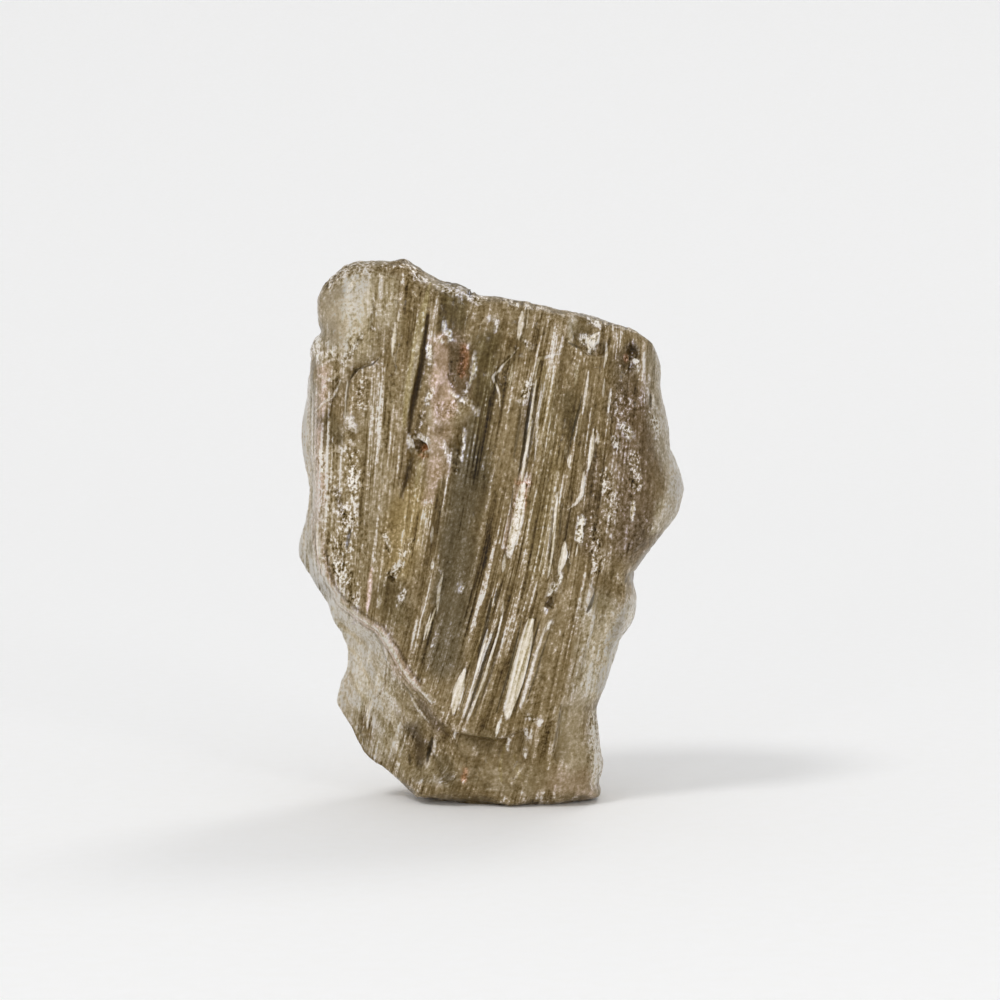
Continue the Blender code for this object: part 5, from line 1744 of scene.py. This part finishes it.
    def _lines(self, skin: Skin, flow: np.ndarray) -> dict[str, np.ndarray]:
        """Works out the crisp lines on both faces.

        Args:
            skin: The finished skin.
            flow: Rows of band, y and z.

        Returns:
            Rows of signed distance, half width and strength, by the name of the channel.
        """
        x, z = self._places(skin, flow)[Edge.COMBED]
        front = self._front(skin.points)
        channels = {f"line_{n}": np.zeros((len(x), 3)) for n in range(self.finish.channels)}
        for strokes, weight in ((FRONT_STROKES, front), (BACK_STROKES, 1.0 - front)):
            drawing = LineDrawing(strokes, self.finish.channels, self.line_margin)
            there = weight > 0.5
            for number, rows in enumerate(channels.values()):
                rows[there] = drawing.values(number, x[there], z[there])
                rows[there, 2] *= 2.0 * weight[there] - 1.0
        return channels

    def dress(self, stone: bpy.types.Object) -> None:
        """Gives the stone its glass and its place in the frame.

        Args:
            stone: The object that build gave.
        """
        stone.data.materials.append(self.finish.make())
        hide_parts(self.node_name)
        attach(stone, self.body)


@dataclass(frozen=True)
class Lamp:
    """A soft studio lamp: a small panel near the stone, or a sun where it has no distance.

    Args:
        name: Its name.
        azimuth: Degrees round from the front, to the right where positive.
        elevation: Degrees above the floor.
        strength: Light that falls on a sheet facing it, in watts for each square metre.
        breadth: How wide it looks from the stone, in degrees.
        distance: From the stone.
    """

    name: str
    azimuth: float
    elevation: float
    strength: float
    breadth: float
    distance: float = 0.0

    def make(self, target: Vector) -> bpy.types.Object:
        """Places the lamp.

        Args:
            target: What it looks at, in metres.

        Returns:
            The lamp.
        """
        turn, rise = math.radians(self.azimuth), math.radians(self.elevation)
        back = Vector((math.sin(turn) * math.cos(rise), -math.cos(turn) * math.cos(rise), math.sin(rise)))
        light = bpy.data.lights.new(self.name, "AREA" if self.distance else "SUN")
        away = self.distance * MM
        if self.distance:
            light.size = 2.0 * away * math.tan(math.radians(self.breadth) / 2.0)
            light.energy = self.strength * math.pi * away * away
        else:
            light.angle = math.radians(self.breadth)
            light.energy = self.strength
        lamp = placed(self.name, light)
        lamp.location = target + back * away
        lamp.rotation_euler = back.to_track_quat("Z", "Y").to_euler()
        return lamp


@dataclass
class Studio:
    """A pale floor that sweeps up all round, a soft white sky and the lamps.

    Args:
        floor_name: The floor's name.
        rings: Radii of the rings on its flat middle.
        floor_radius: Where the floor starts to rise.
        sweep: Radius of the rise.
        sweep_steps: Rings on the rise.
        wall_height: Height of its edge.
        segments: Steps round.
        sky: Brightness of the sky.
        target: What the lamps look at.
        lamps: The lamps.
        finish: The floor's finish.
    """

    floor_name: str = "pale_floor"
    rings: Triple = (20.0, 60.0, 120.0)
    floor_radius: float = 250.0
    sweep: float = 900.0
    sweep_steps: int = 25
    wall_height: float = 420.0
    segments: int = 96
    sky: float = 0.58
    target: Triple = (0.0, 0.0, 17.0)
    lamps: tuple[Lamp, ...] = (
        Lamp("high_left", -42.0, 52.0, 0.7, 14.0),
        Lamp("low_right", 30.0, 16.0, 0.27, 9.0, 320.0),
        Lamp("low_left", -22.0, 12.0, 0.19, 7.0, 320.0),
        Lamp("high_back", 150.0, 50.0, 0.4, 20.0),
    )
    finish: PaleFinish = field(default_factory=PaleFinish)

    def build(self) -> bpy.types.Object:
        """Builds the floor, the sky and the lamps.

        Returns:
            The floor.
        """
        steepest = math.acos(1.0 - self.wall_height / self.sweep)
        profile = [(radius, 0.0) for radius in self.rings]
        profile += [(self.floor_radius + self.sweep * math.sin(a), self.sweep * (1.0 - math.cos(a)))
                    for a in np.linspace(0.0, steepest, self.sweep_steps)]
        points: list[Triple] = [(0.0, 0.0, 0.0)]
        for radius, z in profile:
            for step in range(self.segments):
                turn = math.tau * step / self.segments
                points.append((radius * math.cos(turn) * MM, radius * math.sin(turn) * MM, z * MM))
        faces: list[tuple[int, ...]] = []
        for step in range(self.segments):
            after = (step + 1) % self.segments
            faces.append((0, 1 + step, 1 + after))
            for ring in range(len(profile) - 1):
                low = 1 + ring * self.segments
                high = low + self.segments
                faces.append((low + step, high + step, high + after, low + after))
        mesh = bpy.data.meshes.new(self.floor_name)
        mesh.from_pydata(points, [], faces)
        mesh.shade_smooth()
        mesh.materials.append(self.finish.make())
        floor = placed(self.floor_name, mesh)
        for lamp in self.lamps:
            lamp.make(Vector(self.target) * MM)
        self._sky()
        return floor

    def _sky(self) -> None:
        """Lights the set evenly from all round."""
        world = bpy.data.worlds.new("soft_sky")
        world.use_nodes = True
        background = world.node_tree.nodes["Background"]
        background.inputs["Color"].default_value = (1.0, 1.0, 1.0, 1.0)
        background.inputs["Strength"].default_value = self.sky
        bpy.context.scene.world = world


@dataclass(frozen=True)
class ViewCamera:
    """The camera, almost level with the stone.

    Args:
        elevation: Degrees above level.
        aim: The place in the middle of the picture.
        picture_width: What the picture spans at the stone.
        lens: Focal length.
        sensor: Width of the sensor.
        clip: The nearest and the farthest that it shows, in metres.
    """

    elevation: float = 4.0
    aim: Triple = (0.62, 0.0, 19.38)
    picture_width: float = 64.8
    lens: float = 110.0
    sensor: float = 36.0
    clip: tuple[float, float] = (0.01, 10.0)

    def make(self) -> bpy.types.Object:
        """Places the camera and makes it the scene's.

        Returns:
            The camera.
        """
        data = bpy.data.cameras.new("view")
        data.lens = self.lens
        data.sensor_width = self.sensor
        data.clip_start, data.clip_end = self.clip
        distance = self.picture_width * self.lens / self.sensor
        rise = math.radians(self.elevation)
        back = Vector((0.0, -math.cos(rise), math.sin(rise)))
        camera = placed("view", data)
        camera.location = (Vector(self.aim) + back * distance) * MM
        camera.rotation_euler = back.to_track_quat("Z", "Y").to_euler()
        bpy.context.scene.camera = camera
        return camera


def main() -> None:
    """Builds the camera, the stone and the studio."""
    logging.basicConfig(level=logging.INFO, format="%(name)s: %(message)s")
    bpy.context.scene.view_settings.view_transform = "Standard"
    ViewCamera().make()
    specimen = Specimen()
    stone = specimen.build()
    specimen.dress(stone)
    LOG.info("%s has %d triangles", stone.name, len(stone.data.polygons))
    floor = Studio().build()
    LOG.info("%s has %d faces", floor.name, len(floor.data.polygons))


if __name__ == "__main__":
    main()
